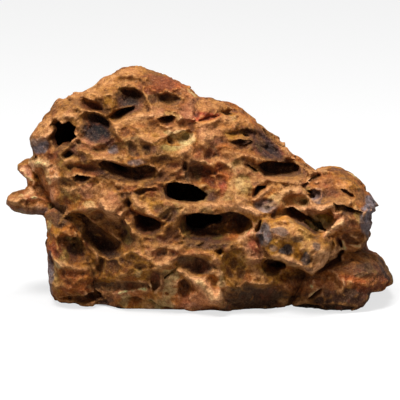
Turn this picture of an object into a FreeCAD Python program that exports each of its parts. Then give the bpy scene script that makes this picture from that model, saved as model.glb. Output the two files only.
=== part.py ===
"""Hollow cast-resin cave ornament in the shape of a weathered, pitted rock.

Frame: millimetres, +Z up, origin on the tank floor under the middle of the cave,
+X to the right of the face with the cave mouths, -Y towards that face (the front).

The rock is two hollow castings (front and rear) bonded on an upright seam, with five
outcrops bonded on the outside, a ring bonded into the open bottom, rubber pads pressed
into that ring, and plain resin dowels that locate the joints between castings.
"""
import FreeCAD, Part
import math
import os
import Sketcher

Vector = FreeCAD.Vector
Rotation = FreeCAD.Rotation

# --------------------------------------------------------------------------- dimensions
DIMENSIONS = {
    "wall_thick": 8.0,        # wall of the hollow castings
    "seam_pos": 22.5,         # the parting seam is the plane y = seam_pos
    "seam_gap": 0.4,          # adhesive line between the two shells
    "ring_low": 3.5,          # underside of the base ring above the tank floor
    "ring_thick": 6.0,
    "ring_wide": 24.0,
    "ring_gap": 0.4,          # adhesive line around the ring
    "dowel_rad": 2.0,
    "dowel_long": 18.0,
    "dowel_gap": 0.1,         # adhesive line around and at the ends of a dowel
    "pad_head_rad": 8.0,
    "pad_chamfer": 0.8,       # on the floor edge of the head
    "pad_stem_rad": 3.0,
    "pad_stem_long": 5.0,     # above the underside of the ring
    "pad_taper_long": 1.0,    # tapered end of the stem
    "pad_taper_in": 0.8,
    "pad_gap": 0.05,          # between pad and ring, above the head and around the stem
    "pad_left": -58.0,
    "pad_right": 52.0,
    "pad_front": -33.5,
    "pad_rear": 44.5,
}

# Horizontal sections of each casting's outside, from the bottom up.
FORM_COLUMNS = ("high", "left", "right", "front", "back")
FORMS = {
    "rock": [
        (1.5, -84, 78, -57.5, 68.5),
        (22, -88, 84, -63.5, 72.5),
        (45, -95, 92, -65.5, 74.5),
        (64, -106, 98, -61.5, 73.5),
        (84, -120, 96, -53.5, 69.5),
        (104, -127, 84, -45.5, 65.5),
        (121, -129, 63, -37.5, 60.5),
        (138, -124, 42, -29.5, 54.5),
        (152, -108, 22, -21.5, 47.5),
        (166, -81, -14, -11.5, 38.5),
        (175, -64, -34, -1.5, 24.5),
        (179, -57, -42, 3.5, 14.5),
    ],
    "boulder": [
        (1.5, 70, 128, -55.5, 38.5),
        (9, 70, 149.5, -53.5, 54.5),
        (20, 72, 147, -49.5, 58.5),
        (30, 74, 141, -46, 58),
        (37, 76, 133, -43, 56),
        (42, 80, 127, -38, 50),
    ],
    "shoulder": [
        (42.5, 76, 130, -38, 46),
        (52, 77, 133, -41, 47),
        (60, 77, 134, -43, 48),
        (68, 78, 138.5, -45.5, 48.5),
        (76, 78, 136, -43.5, 50.5),
        (86, 76, 127, -37.5, 48.5),
        (94, 74, 118, -29.5, 42.5),
        (100, 80, 106, -13.5, 24.5),
    ],
    "block": [
        (1.5, -112, -70, -39.5, 42.5),
        (14, -116, -72, -43.5, 46.5),
        (34, -119.5, -76, -45.5, 48.5),
        (54, -119, -82, -43.5, 46.5),
        (68, -118, -90, -37.5, 42.5),
        (75, -114, -96, -29.5, 34.5),
    ],
    "spur": [
        (64, -118, -102, -1.5, 16.5),
        (68, -142, -104, -9.5, 20.5),
        (73, -149.5, -104, -13.5, 20.5),
        (80, -143, -108, -13.5, 20.5),
        (87, -128, -112, -11.5, 20.5),
        (94, -136, -114, -9.5, 18.5),
        (102, -141, -116, -5.5, 16.5),
        (109, -130, -118, 0.5, 14.5),
    ],
    "slab": [
        (28, 79, 88, -69.5, -41.5),
        (37, 66, 97, -72.5, -37.5),
        (48, 48, 99, -74.5, -35.5),
        (58, 43, 101, -72.5, -33.5),
        (68, 50, 100, -68.5, -31.5),
        (75, 58, 84, -63.5, -31.5),
    ],
}

# Outline of a section: a rounded rectangle of straight sides, roughened by sine waves.
STATIONS = 20           # corners in each section
ROUNDING = 0.66         # 1 gives an ellipse, smaller is squarer
ROUGHNESS = 0.030       # share of the section's width or depth
FORM_SEEDS = {          # phase of the roughness
    "rock": 0.4, "boulder": 1.7, "shoulder": 2.9, "block": 4.1, "spur": 5.3, "slab": 0.9,
}

# Cave inside the rock.
CAVE_SECTIONS = 10      # number of rock sections, from the lowest, that the cave follows
CAVE_BELOW = 8.0        # start below the lowest rock section, to open the bottom
CAVE_STRAIGHT = 14.5    # straight part above the lowest rock section, so that the ring fits
CAVE_DROP = {6: 0.4, 7: 0.8, 8: 0.8, 9: 0.8}    # drop at upper levels, in walls

# Hollow of the boulder: boulder level, drop, inset at the left, walls in at the right,
# inset beyond one wall at the front and at the back.
BOULDER_HOLLOW = [
    (0, 5, 32, 1.0, 2, 2),
    (2, 0, 31, 1.5, 2, 4),
    (4, 4, 30, 1.2, 6, 6),
]

# Cave mouths and pits, each an ellipsoid: casting, x, z and y of the centre,
# half width, half height, half depth, turn about Y in degrees.
PIT_COLUMNS = ("x", "z", "y", "wide", "tall", "deep")
PITS = {
    "main_mouth": ("rock", 12, 67, -61.5, 27, 11.5, 34, 2),
    "left_mouth": ("rock", -80, 53, -52.5, 16, 23, 30, -24),
    "upper_mouth": ("rock", -8, 92, -53.5, 14, 8, 26, 8),
    "left_slot": ("rock", -60, 108, -45.5, 20, 7.5, 24, 12),
    "eye_hole": ("rock", -100, 132, -25.5, 11, 9, 24, -15),
    "crown_hole": ("rock", -55, 160, -16, 11, 6.5, 18, 0),
    "crown_pit": ("rock", -60, 148, -25.5, 9, 6, 16, 20),
    "shelf_slot": ("rock", 58, 108, -39.5, 20, 6, 22, 6),
    "ledge_hole": ("rock", -27, 144, -27.5, 10, 4.5, 16, -6),
    "ridge_hole": ("rock", 19, 148, -22.5, 8, 4, 15, 10),
    "slope_hole": ("rock", 32, 126, -34.5, 8, 5, 17, 12),
    "dark_pit": ("rock", -41, 66, -63.5, 11, 7, 16, 15),
    "small_mouth": ("rock", 50, 88, -52.5, 7, 6, 18, 40),
    "low_pit": ("rock", 50, 31, -65.5, 13, 8, 18, -10),
    "foot_pit": ("rock", 0, 22, -65.5, 13, 9, 14, 30),
    "rear_mouth": ("rock", -38, 34, 74.5, 26, 20, 30, 0),
    "rear_slot": ("rock", 38, 78, 70.5, 18, 9, 24, -14),
    "rear_hole": ("rock", -70, 110, 60.5, 11, 9, 20, 20),
    "rear_pit": ("rock", 0, 128, 58.5, 14, 8, 16, 8),
    "boulder_pit": ("boulder", 112, 27, -49.5, 13, 8, 9, 12),
    "boulder_side_pit": ("boulder", 146, 30, 14.5, 8, 9, 14, 0),
    "shoulder_slot": ("shoulder", 114, 77.5, -45.5, 11, 4.5, 12, 24),
    "shoulder_pit": ("shoulder", 113, 89, -36.5, 7, 3, 10, 28),
    "block_pit": ("block", -100, 48, -51.5, 12, 15, 12, 20),
    "slab_pit": ("slab", 66, 58, -75.5, 8, 6, 5, 0),
    "slab_slot": ("slab", 88, 70, -71.5, 14, 4, 9, 28),
}

# Dowels: x, y, z of the start and the direction. A y of None centres the dowel on the seam.
DOWELS = {
    "seam_low_left": (-80.7, None, 20, "+Y"),
    "seam_low_right": (77.3, None, 20, "+Y"),
    "seam_high_left": (-112, None, 138, "+Y"),
    "seam_mid_right": (91.3, None, 79, "+Y"),
    "seam_crest": (-47, None, 169, "+Y"),
    "boulder_front": (78.5, -3.5, 24, "+X"),
    "boulder_rear": (75.5, 32, 24, "+X"),
    "shoulder_one": (89.5, 2.5, 80, "+X"),
    "shoulder_low": (88.5, -9.5, 56, "+X"),
    "block_front": (-83.5, -13.5, 30, "-X"),
    "block_rear": (-90.5, 10.5, 50, "-X"),
    "spur_one": (-112.5, 2.5, 79, "-X"),
    "slab_left": (58, -51, 48, "-Y"),
    "slab_right": (74, -43.5, 48, "-Y"),
}
# Turn that takes a cylinder from +Z to the direction: axis and degrees.
DOWEL_TURNS = {
    "+Y": (Vector(1, 0, 0), -90),
    "-Y": (Vector(1, 0, 0), 90),
    "+X": (Vector(0, 1, 0), 90),
    "-X": (Vector(0, 1, 0), -90),
}

# Outcrops: form, and the forms that it is seated on.
OUTCROPS = {
    "right_shoulder": ("shoulder", ["rock"]),
    "right_boulder": ("boulder", ["rock"]),
    "left_foot_block": ("block", ["rock"]),
    "left_spur": ("spur", ["rock", "block"]),
    "overhang_slab": ("slab", ["rock", "shoulder", "boulder"]),
}

# Foot pads: the dimensions that place each one in x and y.
FOOT_PADS = {
    "foot_pad_front_left": ("pad_left", "pad_front"),
    "foot_pad_front_right": ("pad_right", "pad_front"),
    "foot_pad_rear_left": ("pad_left", "pad_rear"),
    "foot_pad_rear_right": ("pad_right", "pad_rear"),
}

# Boxes that part the rock at the seam, well clear of it on every other side.
SPACE_REACH = 200.0
SPACE_LOW = -20.0
SPACE_TALL = 240.0

CRUMB_SHARE = 0.02      # solids below this share of a casting's volume are loose crumbs
THROUGH_ALL = 1         # Type of a PartDesign pocket
ORIGIN, START, END, CENTRE = -1, 1, 2, 3    # Sketcher's numbers for geometry and points

# --------------------------------------------------------------------------- spreadsheet
doc = FreeCAD.newDocument("CaveOrnament")
sheet = doc.addObject("Spreadsheet::Sheet", "Dims")
cell_values = {}


def add_cell(alias, number):
    row = len(cell_values) + 1
    cell_values[alias] = float(number)
    sheet.set("A%d" % row, alias)
    sheet.set("B%d" % row, "%.4f" % number)
    sheet.setAlias("B%d" % row, alias)


def level_letter(level):
    return "abcdefghijklmnopqrstuvwxyz"[level]


def fill_sheet():
    for alias, number in DIMENSIONS.items():
        add_cell(alias, number)
    for form, rows in FORMS.items():
        for level, row in enumerate(rows):
            for column, number in zip(FORM_COLUMNS, row):
                add_cell("%s_%s_%s" % (form, level_letter(level), column), number)
    for pit, row in PITS.items():
        for column, number in zip(PIT_COLUMNS, row[1:]):
            add_cell("%s_p%s" % (pit, column), number)
    for dowel, row in DOWELS.items():
        for column, number in zip(("dx", "dy", "dz"), row):
            if number is not None:
                add_cell("%s_%s" % (dowel, column), number)
    doc.recompute()


class Length:
    """A spreadsheet expression together with its number, which gives sketches a first guess."""

    def __init__(self, text, number):
        self.text = text
        self.number = number

    def combined(self, sign, other, number):
        return Length("(%s %s %s)" % (self.text, sign, other.text), number)

    def __add__(self, other):
        other = as_length(other)
        return self.combined("+", other, self.number + other.number)

    def __sub__(self, other):
        other = as_length(other)
        return self.combined("-", other, self.number - other.number)

    def __mul__(self, other):
        other = as_length(other)
        return self.combined("*", other, self.number * other.number)


def as_length(item):
    return item if isinstance(item, Length) else Length("%.4f" % item, float(item))


def dim(alias):
    return Length("Dims." + alias, cell_values[alias])


def bind(target, path, length):
    target.setExpression(path, length.text)


def bind_base(target, x, y, z):
    for axis, length in zip("xyz", (x, y, z)):
        bind(target, "Placement.Base." + axis, length)


fill_sheet()


# --------------------------------------------------------------------------- sketches, lofts
def attached_sketch(body, name, role="XY_Plane"):
    sketch = body.newObject("Sketcher::SketchObject", name)
    plane = next(item for item in body.Origin.OriginFeatures if item.Role == role)
    sketch.AttachmentSupport = [(plane, "")]
    sketch.MapMode = "FlatFace"
    return sketch


def polygon_sketch(body, name, corners, offset=None, role="XY_Plane"):
    """Closed polygon whose corners, pairs of Lengths, are held by constraints."""
    sketch = attached_sketch(body, name, role)
    count = len(corners)
    points = [Vector(x.number, y.number, 0) for x, y in corners]
    sides = [Part.LineSegment(points[k], points[(k + 1) % count]) for k in range(count)]
    sketch.addGeometry(sides, False)
    rules = [
        Sketcher.Constraint("Coincident", k, END, (k + 1) % count, START) for k in range(count)
    ]
    for k, (x, y) in enumerate(corners):
        rules.append(Sketcher.Constraint("DistanceX", ORIGIN, START, k, START, x.number))
        rules.append(Sketcher.Constraint("DistanceY", ORIGIN, START, k, START, y.number))
    sketch.addConstraint(rules)
    for k, (x, y) in enumerate(corners):
        bind(sketch, "Constraints[%d]" % (count + 2 * k), x)
        bind(sketch, "Constraints[%d]" % (count + 2 * k + 1), y)
    if offset is not None:
        bind(sketch, "AttachmentOffset.Base.z", offset)
    return sketch


def station(k, seed, level):
    """Place of corner k of a section, as shares of the section's width and depth."""
    angle = 2 * math.pi * (k + 0.5) / STATIONS
    cosine, sine = math.cos(angle), math.sin(angle)
    across = 0.5 + 0.5 * math.copysign(abs(cosine) ** ROUNDING, cosine)
    along = 0.5 + 0.5 * math.copysign(abs(sine) ** ROUNDING, sine)
    across += ROUGHNESS * math.sin(2.9 * k + 1.9 * level + seed) * (0.5 + abs(sine))
    along += ROUGHNESS * math.sin(3.7 * k + 2.3 * level + 2 * seed) * (0.5 + abs(cosine))
    return [round(min(1.0, max(0.0, share)), 4) for share in (across, along)]


def section_corners(left, right, front, back, seed, level):
    corners = []
    for k in range(STATIONS):
        across, along = station(k, seed, level)
        corners.append((left + (right - left) * across, front + (back - front) * along))
    return corners


def loft_body(name, sections, seed):
    """Loft with straight rulings through sections of (high, left, right, front, back, level)."""
    body = doc.addObject("PartDesign::Body", name)
    sketches = []
    for i, (high, left, right, front, back, level) in enumerate(sections):
        corners = section_corners(left, right, front, back, seed, level)
        sketch_name = "%s_section_%s" % (name, level_letter(i))
        sketches.append(polygon_sketch(body, sketch_name, corners, high))
    doc.recompute()
    loft = body.newObject("PartDesign::AdditiveLoft", name + "_loft")
    loft.Profile = sketches[0]
    loft.Sections = sketches[1:]
    loft.Ruled = True
    doc.recompute()
    return body


def form_section(form, level):
    stem = "%s_%s_" % (form, level_letter(level))
    return tuple(dim(stem + column) for column in FORM_COLUMNS) + (level,)


# --------------------------------------------------------------------------- booleans
def cut(name, base, tool):
    result = doc.addObject("Part::Cut", name)
    result.Base = base
    result.Tool = tool
    return result


def common(name, base, tool):
    result = doc.addObject("Part::Common", name)
    result.Base = base
    result.Tool = tool
    return result


def fuse(name, shapes):
    """Union of the shapes, or the shape itself where there is only one."""
    if len(shapes) == 1:
        return shapes[0]
    result = doc.addObject("Part::MultiFuse", name)
    result.Shapes = shapes
    return result


def compound(name, links):
    result = doc.addObject("Part::Compound", name)
    result.Links = links
    return result


# --------------------------------------------------------------------------- forms and hollows
def outside_form(form):
    sections = [form_section(form, level) for level in range(len(FORMS[form]))]
    return loft_body(form + "_form", sections, FORM_SEEDS[form])


def cave_form():
    """The rock's own sections moved in by the wall, without the second lowest one."""
    wall = dim("wall_thick")
    sections = []
    for i in range(CAVE_SECTIONS):
        high, left, right, front, back, level = form_section("rock", i)
        if level == 0:
            heights = [high - CAVE_BELOW, high + CAVE_STRAIGHT]
        elif level == 1:
            heights = []
        else:
            heights = [high - wall * CAVE_DROP.get(level, 0)]
        for height in heights:
            sections.append(
                (height, left + wall, right - wall, front + wall, back - wall, level)
            )
    return loft_body("cave_form", sections, FORM_SEEDS["rock"])


def boulder_hollow_form():
    wall = dim("wall_thick")
    sections = []
    for row_level, drop, left_in, right_walls, front_in, back_in in BOULDER_HOLLOW:
        high, left, right, front, back, level = form_section("boulder", row_level)
        sections.append((
            high - drop,
            left + left_in,
            right - wall * right_walls,
            front + wall + front_in,
            back - wall - back_in,
            level,
        ))
    return loft_body("boulder_hollow_form", sections, FORM_SEEDS["boulder"])


def pit_tool(pit, turn):
    x, z, y, wide, tall, deep = [dim("%s_p%s" % (pit, column)) for column in PIT_COLUMNS]
    tool = doc.addObject("Part::Ellipsoid", pit + "_tool")
    bind(tool, "Radius1", tall)
    bind(tool, "Radius2", wide)
    bind(tool, "Radius3", deep)
    tool.Placement = FreeCAD.Placement(Vector(0, 0, 0), Rotation(Vector(0, 1, 0), turn))
    bind_base(tool, x, y, z)
    return tool


forms = {form: outside_form(form) for form in FORMS}
cave = cave_form()
boulder_hollow = boulder_hollow_form()

hollow_tools = {form: [] for form in FORMS}
for pit, row in PITS.items():
    hollow_tools[row[0]].append(pit_tool(pit, turn=row[-1]))
hollow_tools["boulder"].append(boulder_hollow)
doc.recompute()


# --------------------------------------------------------------------------- dowels, bores
def dowel_cylinder(name, dowel, gap):
    """A dowel, or its bore where gap is the adhesive line around and at both ends."""
    y_given, direction = DOWELS[dowel][1], DOWELS[dowel][3]
    x, z = dim(dowel + "_dx"), dim(dowel + "_dz")
    if y_given is None:
        y = dim("seam_pos") - dim("dowel_long") * 0.5
    else:
        y = dim(dowel + "_dy")
    if direction == "+X":
        x = x - gap
    elif direction == "-X":
        x = x + gap
    elif direction == "+Y":
        y = y - gap
    else:
        y = y + gap
    result = doc.addObject("Part::Cylinder", name)
    bind(result, "Radius", dim("dowel_rad") + gap)
    bind(result, "Height", dim("dowel_long") + gap * 2)
    result.Placement = FreeCAD.Placement(Vector(0, 0, 0), Rotation(*DOWEL_TURNS[direction]))
    bind_base(result, x, y, z)
    return result


dowel_pins = [dowel_cylinder(dowel + "_pin", dowel, as_length(0)) for dowel in DOWELS]
dowel_bores = [dowel_cylinder(dowel + "_bore", dowel, dim("dowel_gap")) for dowel in DOWELS]
doc.recompute()
bores = compound("bores", dowel_bores)
bond_dowels = compound("bond_dowels", dowel_pins)


# --------------------------------------------------------------------------- castings
def space_box(name, y):
    space = doc.addObject("Part::Box", name)
    space.Placement.Base = Vector(-SPACE_REACH, y, SPACE_LOW)
    space.Length = 2 * SPACE_REACH
    space.Width = SPACE_REACH
    space.Height = SPACE_TALL
    return space


def rock_shells():
    """The hollow, pitted and drilled rock, parted at the seam into front and rear."""
    rock_pits = fuse("rock_pits", hollow_tools["rock"])
    hollow = cut("rock_hollow", forms["rock"], cave)
    pierced = cut("rock_pierced", hollow, rock_pits)
    drilled = cut("rock_drilled", pierced, bores)
    half_gap = dim("seam_gap") * 0.5
    front_space = space_box("front_space", -SPACE_REACH)
    bind(front_space, "Width", dim("seam_pos") - half_gap + SPACE_REACH)
    rear_space = space_box("rear_space", 0)
    bind(rear_space, "Placement.Base.y", dim("seam_pos") + half_gap)
    shells = {
        "front_shell": common("front_shell", drilled, front_space),
        "rear_shell": common("rear_shell", drilled, rear_space),
    }
    doc.recompute()
    return shells


def outcrop(name, form, seats):
    """A casting whose bonded faces are the outsides of the forms it is seated on."""
    seat = fuse(name + "_seats", [forms[other] for other in seats])
    body = cut(name + "_seated", forms[form], seat)
    if hollow_tools[form]:
        hollows = fuse(name + "_hollows", hollow_tools[form])
        body = cut(name + "_pitted", body, hollows)
    return cut(name, body, bores)


parts = rock_shells()
for name, (form, seats) in OUTCROPS.items():
    parts[name] = outcrop(name, form, seats)
doc.recompute()
parts["bond_dowels"] = bond_dowels


# --------------------------------------------------------------------------- base ring
def ring_corners(inset):
    """The rock's lowest section, moved in by the wall, the adhesive line and the inset."""
    _, left, right, front, back, level = form_section("rock", 0)
    edge = dim("wall_thick") + dim("ring_gap") + inset
    return section_corners(
        left + edge, right - edge, front + edge, back - edge, FORM_SEEDS["rock"], level
    )


def pad_holes_sketch(ring, offset):
    sketch = attached_sketch(ring, "ring_pad_holes")
    bind(sketch, "AttachmentOffset.Base.z", offset)
    radius = dim("pad_stem_rad") + dim("pad_gap")
    centres = [(dim(across), dim(along)) for across, along in FOOT_PADS.values()]
    circles = [
        Part.Circle(Vector(x.number, y.number, 0), Vector(0, 0, 1), radius.number)
        for x, y in centres
    ]
    sketch.addGeometry(circles, False)
    rules = []
    for k, (x, y) in enumerate(centres):
        rules += [
            Sketcher.Constraint("DistanceX", ORIGIN, START, k, CENTRE, x.number),
            Sketcher.Constraint("DistanceY", ORIGIN, START, k, CENTRE, y.number),
            Sketcher.Constraint("Radius", k, radius.number),
        ]
    sketch.addConstraint(rules)
    for k, (x, y) in enumerate(centres):
        for i, length in enumerate((x, y, radius)):
            bind(sketch, "Constraints[%d]" % (3 * k + i), length)
    return sketch


def pocket_through(body, name, profile):
    doc.recompute()
    pocket = body.newObject("PartDesign::Pocket", name)
    pocket.Profile = profile
    pocket.Type = THROUGH_ALL
    doc.recompute()


def base_ring():
    ring = doc.addObject("PartDesign::Body", "base_ring")
    low = dim("ring_low")
    top = low + dim("ring_thick")
    outline = polygon_sketch(ring, "ring_outline", ring_corners(0), low)
    doc.recompute()
    plate = ring.newObject("PartDesign::Pad", "ring_plate")
    plate.Profile = outline
    bind(plate, "Length", dim("ring_thick"))
    doc.recompute()
    opening = polygon_sketch(ring, "ring_opening", ring_corners(dim("ring_wide")), top)
    pocket_through(ring, "ring_middle", opening)
    pocket_through(ring, "ring_drilling", pad_holes_sketch(ring, top))
    return ring


parts["base_ring"] = base_ring()


# --------------------------------------------------------------------------- rubber pads
def foot_pad(name, across, along):
    """A turned rubber pad: a chamfered disc on the floor and a stem with a tapered end."""
    body = doc.addObject("PartDesign::Body", name)
    floor = as_length(0)
    axis = as_length(0)
    head, stem = dim("pad_head_rad"), dim("pad_stem_rad")
    chamfer = dim("pad_chamfer")
    head_top = dim("ring_low") - dim("pad_gap")
    stem_top = dim("ring_low") + dim("pad_stem_long")
    corners = [
        (axis, floor),
        (head - chamfer, floor),
        (head, chamfer),
        (head, head_top),
        (stem, head_top),
        (stem, stem_top - dim("pad_taper_long")),
        (stem - dim("pad_taper_in"), stem_top),
        (axis, stem_top),
    ]
    profile = polygon_sketch(body, name + "_profile", corners, role="XZ_Plane")
    doc.recompute()
    turned = body.newObject("PartDesign::Revolution", name + "_turned")
    turned.Profile = profile
    turned.ReferenceAxis = (profile, ["V_Axis"])
    turned.Angle = 360
    bind(body, "Placement.Base.x", dim(across))
    bind(body, "Placement.Base.y", dim(along))
    doc.recompute()
    return body


for name, (across, along) in FOOT_PADS.items():
    parts[name] = foot_pad(name, across, along)


# --------------------------------------------------------------------------- check and write
def check_document():
    doc.recompute()
    bad = [item.Name for item in doc.Objects if "Invalid" in item.State or "Error" in item.State]
    if bad:
        raise SystemExit("failed objects: %s" % bad)
    for name, part in parts.items():
        shape = part.Shape
        if shape.isNull() or not shape.isValid() or not shape.Solids or shape.Volume <= 0:
            raise SystemExit("bad shape: %s" % name)


def main_solid(name, shape):
    """The one solid of real size; a cut can free a crumb that is no part of the piece."""
    keep = [solid for solid in shape.Solids if solid.Volume > CRUMB_SHARE * shape.Volume]
    if len(keep) != 1:
        raise SystemExit("%s has %d bodies" % (name, len(keep)))
    return keep[0]


check_document()
os.makedirs("parts", exist_ok=True)
for name, part in parts.items():
    shape = part.Shape if name == "bond_dowels" else main_solid(name, part.Shape)
    shape.exportStep("parts/%s.step" % name)
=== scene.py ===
import math
import time
import bpy
import numpy as np
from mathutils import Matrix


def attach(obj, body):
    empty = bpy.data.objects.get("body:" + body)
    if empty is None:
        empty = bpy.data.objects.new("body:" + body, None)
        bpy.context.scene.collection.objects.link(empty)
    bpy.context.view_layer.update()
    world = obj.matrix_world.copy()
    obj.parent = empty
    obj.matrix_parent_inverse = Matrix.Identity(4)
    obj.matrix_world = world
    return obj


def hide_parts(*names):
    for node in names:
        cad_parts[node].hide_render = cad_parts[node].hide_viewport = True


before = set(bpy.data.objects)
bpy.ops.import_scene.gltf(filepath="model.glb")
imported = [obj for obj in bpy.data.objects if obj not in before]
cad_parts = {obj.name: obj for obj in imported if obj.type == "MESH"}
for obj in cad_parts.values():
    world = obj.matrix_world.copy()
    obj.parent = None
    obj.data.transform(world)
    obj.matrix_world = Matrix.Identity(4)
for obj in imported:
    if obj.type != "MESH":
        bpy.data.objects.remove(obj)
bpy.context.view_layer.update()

T0 = time.time()
f32 = np.float32

# ---------------------------------------------------------------------------
# Frame of the drawing.  The rock is shaped in a block of voxels that is square to the
# front view: u to the right, v up in the view, w towards the viewer, all in millimetres.
# Features are placed in drawing units of 0.775 mm counted right and down from the
# top left corner of a 400 x 400 sheet, which is how the front was measured up.
# ---------------------------------------------------------------------------
ELEV = math.radians(12.0)
CE, SE = math.cos(ELEV), math.sin(ELEV)
YMID = 8.5
UNIT = 0.775
VOX = 0.8


def sheet(p):
    return ((p[0] - 200.0) * UNIT, (313.5 - p[1]) * UNIT - 14.6)


U1 = np.arange(-156.0, 156.5, VOX).astype(f32)
V1 = np.arange(-26.0, 184.0, VOX).astype(f32)
W1 = np.arange(-78.0, 108.0, VOX).astype(f32)
NU, NV, NW = len(U1), len(V1), len(W1)
SHAPE = (NU, NV, NW)
YY = (V1[:, None] * SE - W1[None, :] * CE + YMID).astype(f32)      # part-frame y of each (v, w)
ZZ = (V1[:, None] * CE + W1[None, :] * SE).astype(f32)             # part-frame z
XX = U1


def clock(label):
    print("  %-28s %.1f s" % (label, time.time() - T0))


# ---------------------------------------------------------------------------
# Smooth value noise on the block, from a seeded lattice and cubic B-splines
# ---------------------------------------------------------------------------
def spline_rows(axis, cell, seed_shift):
    t = (axis - axis[0]) / cell + seed_shift
    i = np.floor(t).astype(int)
    f = t - i
    n = i.max() + 4
    m = np.zeros((len(axis), n), f32)
    rows = np.arange(len(axis))
    m[rows, i] = (1 - f) ** 3 / 6
    m[rows, i + 1] = (3 * f ** 3 - 6 * f ** 2 + 4) / 6
    m[rows, i + 2] = (-3 * f ** 3 + 3 * f ** 2 + 3 * f + 1) / 6
    m[rows, i + 3] = f ** 3 / 6
    return m


def noise(cell, seed, stretch=(1, 1, 1)):
    rng = np.random.default_rng(seed)
    ms = [spline_rows(a, cell * s, 0.37) for a, s in zip((U1, V1, W1), stretch)]
    lat = rng.uniform(-1, 1, [m.shape[1] for m in ms]).astype(f32)
    a = np.tensordot(ms[0], lat, (1, 0))
    a = np.einsum("jb,ibc->ijc", ms[1], a, optimize=True)
    a = np.tensordot(a.astype(f32), ms[2], (2, 1)).astype(f32)
    return a * f32(2.2)


def noise2(cell, seed):
    rng = np.random.default_rng(seed)
    a, b = spline_rows(U1, cell, 0.31), spline_rows(V1, cell, 0.31)
    return (a @ rng.uniform(-1, 1, (a.shape[1], b.shape[1])).astype(f32) @ b.T).astype(f32) * f32(1.8)


def smax(a, b, k):
    if k <= 0:
        return np.maximum(a, b)
    h = np.maximum(k - np.abs(a - b), 0) / k
    return np.maximum(a, b) + h * h * (k * 0.25)


def smin(a, b, k):
    return -smax(-a, -b, k)


# ---------------------------------------------------------------------------
# Broad forms, from the same level tables as the design: z, left, right, front, back
# ---------------------------------------------------------------------------
FORMS = {
    "rock": [(1.5, -84, 78, -57.5, 68.5), (22, -88, 84, -63.5, 72.5), (45, -95, 92, -65.5, 74.5),
             (64, -106, 98, -61.5, 73.5), (84, -120, 96, -53.5, 69.5), (104, -127, 84, -45.5, 65.5),
             (121, -129, 63, -37.5, 60.5), (138, -124, 42, -29.5, 54.5), (152, -108, 22, -21.5, 47.5),
             (166, -81, -14, -11.5, 38.5), (175, -64, -34, -1.5, 24.5), (179, -57, -42, 3.5, 14.5)],
    "boulder": [(1.5, 70, 128, -55.5, 38.5), (9, 70, 149.5, -53.5, 54.5), (20, 72, 147, -49.5, 58.5),
                (30, 74, 141, -46, 58), (37, 76, 133, -43, 56), (42, 80, 127, -38, 50)],
    "shoulder": [(42.5, 76, 130, -38, 46), (52, 77, 133, -41, 47), (60, 77, 134, -43, 48), (68, 78, 138.5, -45.5, 48.5),
                 (76, 78, 136, -43.5, 50.5), (86, 76, 127, -37.5, 48.5), (94, 74, 118, -29.5, 42.5),
                 (100, 80, 106, -13.5, 24.5)],
    "block": [(1.5, -112, -70, -39.5, 42.5), (14, -116, -72, -43.5, 46.5), (34, -119.5, -76, -45.5, 48.5),
              (54, -119, -82, -43.5, 46.5), (68, -118, -90, -37.5, 42.5), (75, -114, -96, -29.5, 34.5)],
    "spur": [(64, -118, -102, -1.5, 16.5), (68, -142, -104, -9.5, 20.5), (73, -149.5, -104, -15.5, 20.5),
             (80, -145, -108, -15.5, 20.5), (87, -132, -112, -13.5, 20.5), (94, -136, -114, -9.5, 18.5),
             (102, -141, -116, -5.5, 16.5), (109, -130, -118, 0.5, 14.5)],
    "slab": [(28, 79, 88, -69.5, -41.5), (37, 66, 97, -72.5, -37.5), (48, 48, 99, -74.5, -35.5),
             (58, 43, 101, -72.5, -33.5), (68, 50, 100, -68.5, -31.5), (75, 58, 84, -63.5, -31.5)],
}
GROW = {"rock": 2.0, "boulder": 5.0, "shoulder": 4.0, "block": 4.0, "spur": 4.0, "slab": 1.0}


def form_field(name, power=2.7, caps=(True, True)):
    rows = FORMS[name]
    zs = [r[0] for r in rows]
    g = GROW[name]
    left, right, front, back = [np.interp(ZZ, zs, [r[c] for r in rows]).astype(f32) for c in (1, 2, 3, 4)]
    cx, rx = (left + right) / 2, (right - left) / 2 + g
    cy, ry = (front + back) / 2, (back - front) / 2 + (g if name != "slab" else 1)
    qy = (np.abs((YY - cy) / ry) ** power).astype(f32)
    qx = np.abs((XX[:, None, None] - cx[None]) / rx[None]) ** f32(power)
    q = qx + qy[None]
    size = (rx[None] * qx + ry[None] * qy[None]) / np.maximum(q, 1e-6)
    d = (q ** f32(1 / power) - 1) * size * f32(0.92)
    if caps[0]:
        d = smax(d, (zs[0] - g * 0.5 - ZZ)[None], 5.0)
    d = smax(d, (ZZ - zs[-1] - 2.0)[None], 6.0)
    return d.astype(f32)


OUTLINE = [(141, 67), (170, 76), (193, 91), (198, 97), (220, 101), (230, 102), (252, 111), (263, 124), (283, 137),
           (295, 151), (303, 157), (306, 162), (320, 167), (330, 166), (341, 168), (362, 182), (379, 205), (373, 219),
           (372, 231), (367, 244), (369, 249), (378, 253), (384, 259), (391, 273), (393, 283), (384, 289), (369, 291),
           (363, 306), (359, 311), (329, 313), (281, 312), (265, 315), (241, 312), (219, 310), (191, 310), (174, 308),
           (162, 305), (152, 299), (145, 298), (137, 295), (134, 295), (120, 305), (103, 311), (86, 309), (76, 303),
           (62, 302), (55, 303), (52, 300), (49, 291), (48, 269), (45, 243), (48, 230), (46, 218), (36, 215), (25, 215),
           (16, 213), (7, 204), (9, 197), (13, 193), (25, 189), (28, 186), (27, 179), (19, 170), (19, 165), (26, 158),
           (33, 155), (31, 142), (32, 134), (46, 116), (51, 112), (53, 105), (59, 96), (70, 92), (83, 91), (92, 87),
           (104, 76), (120, 71)]


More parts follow.
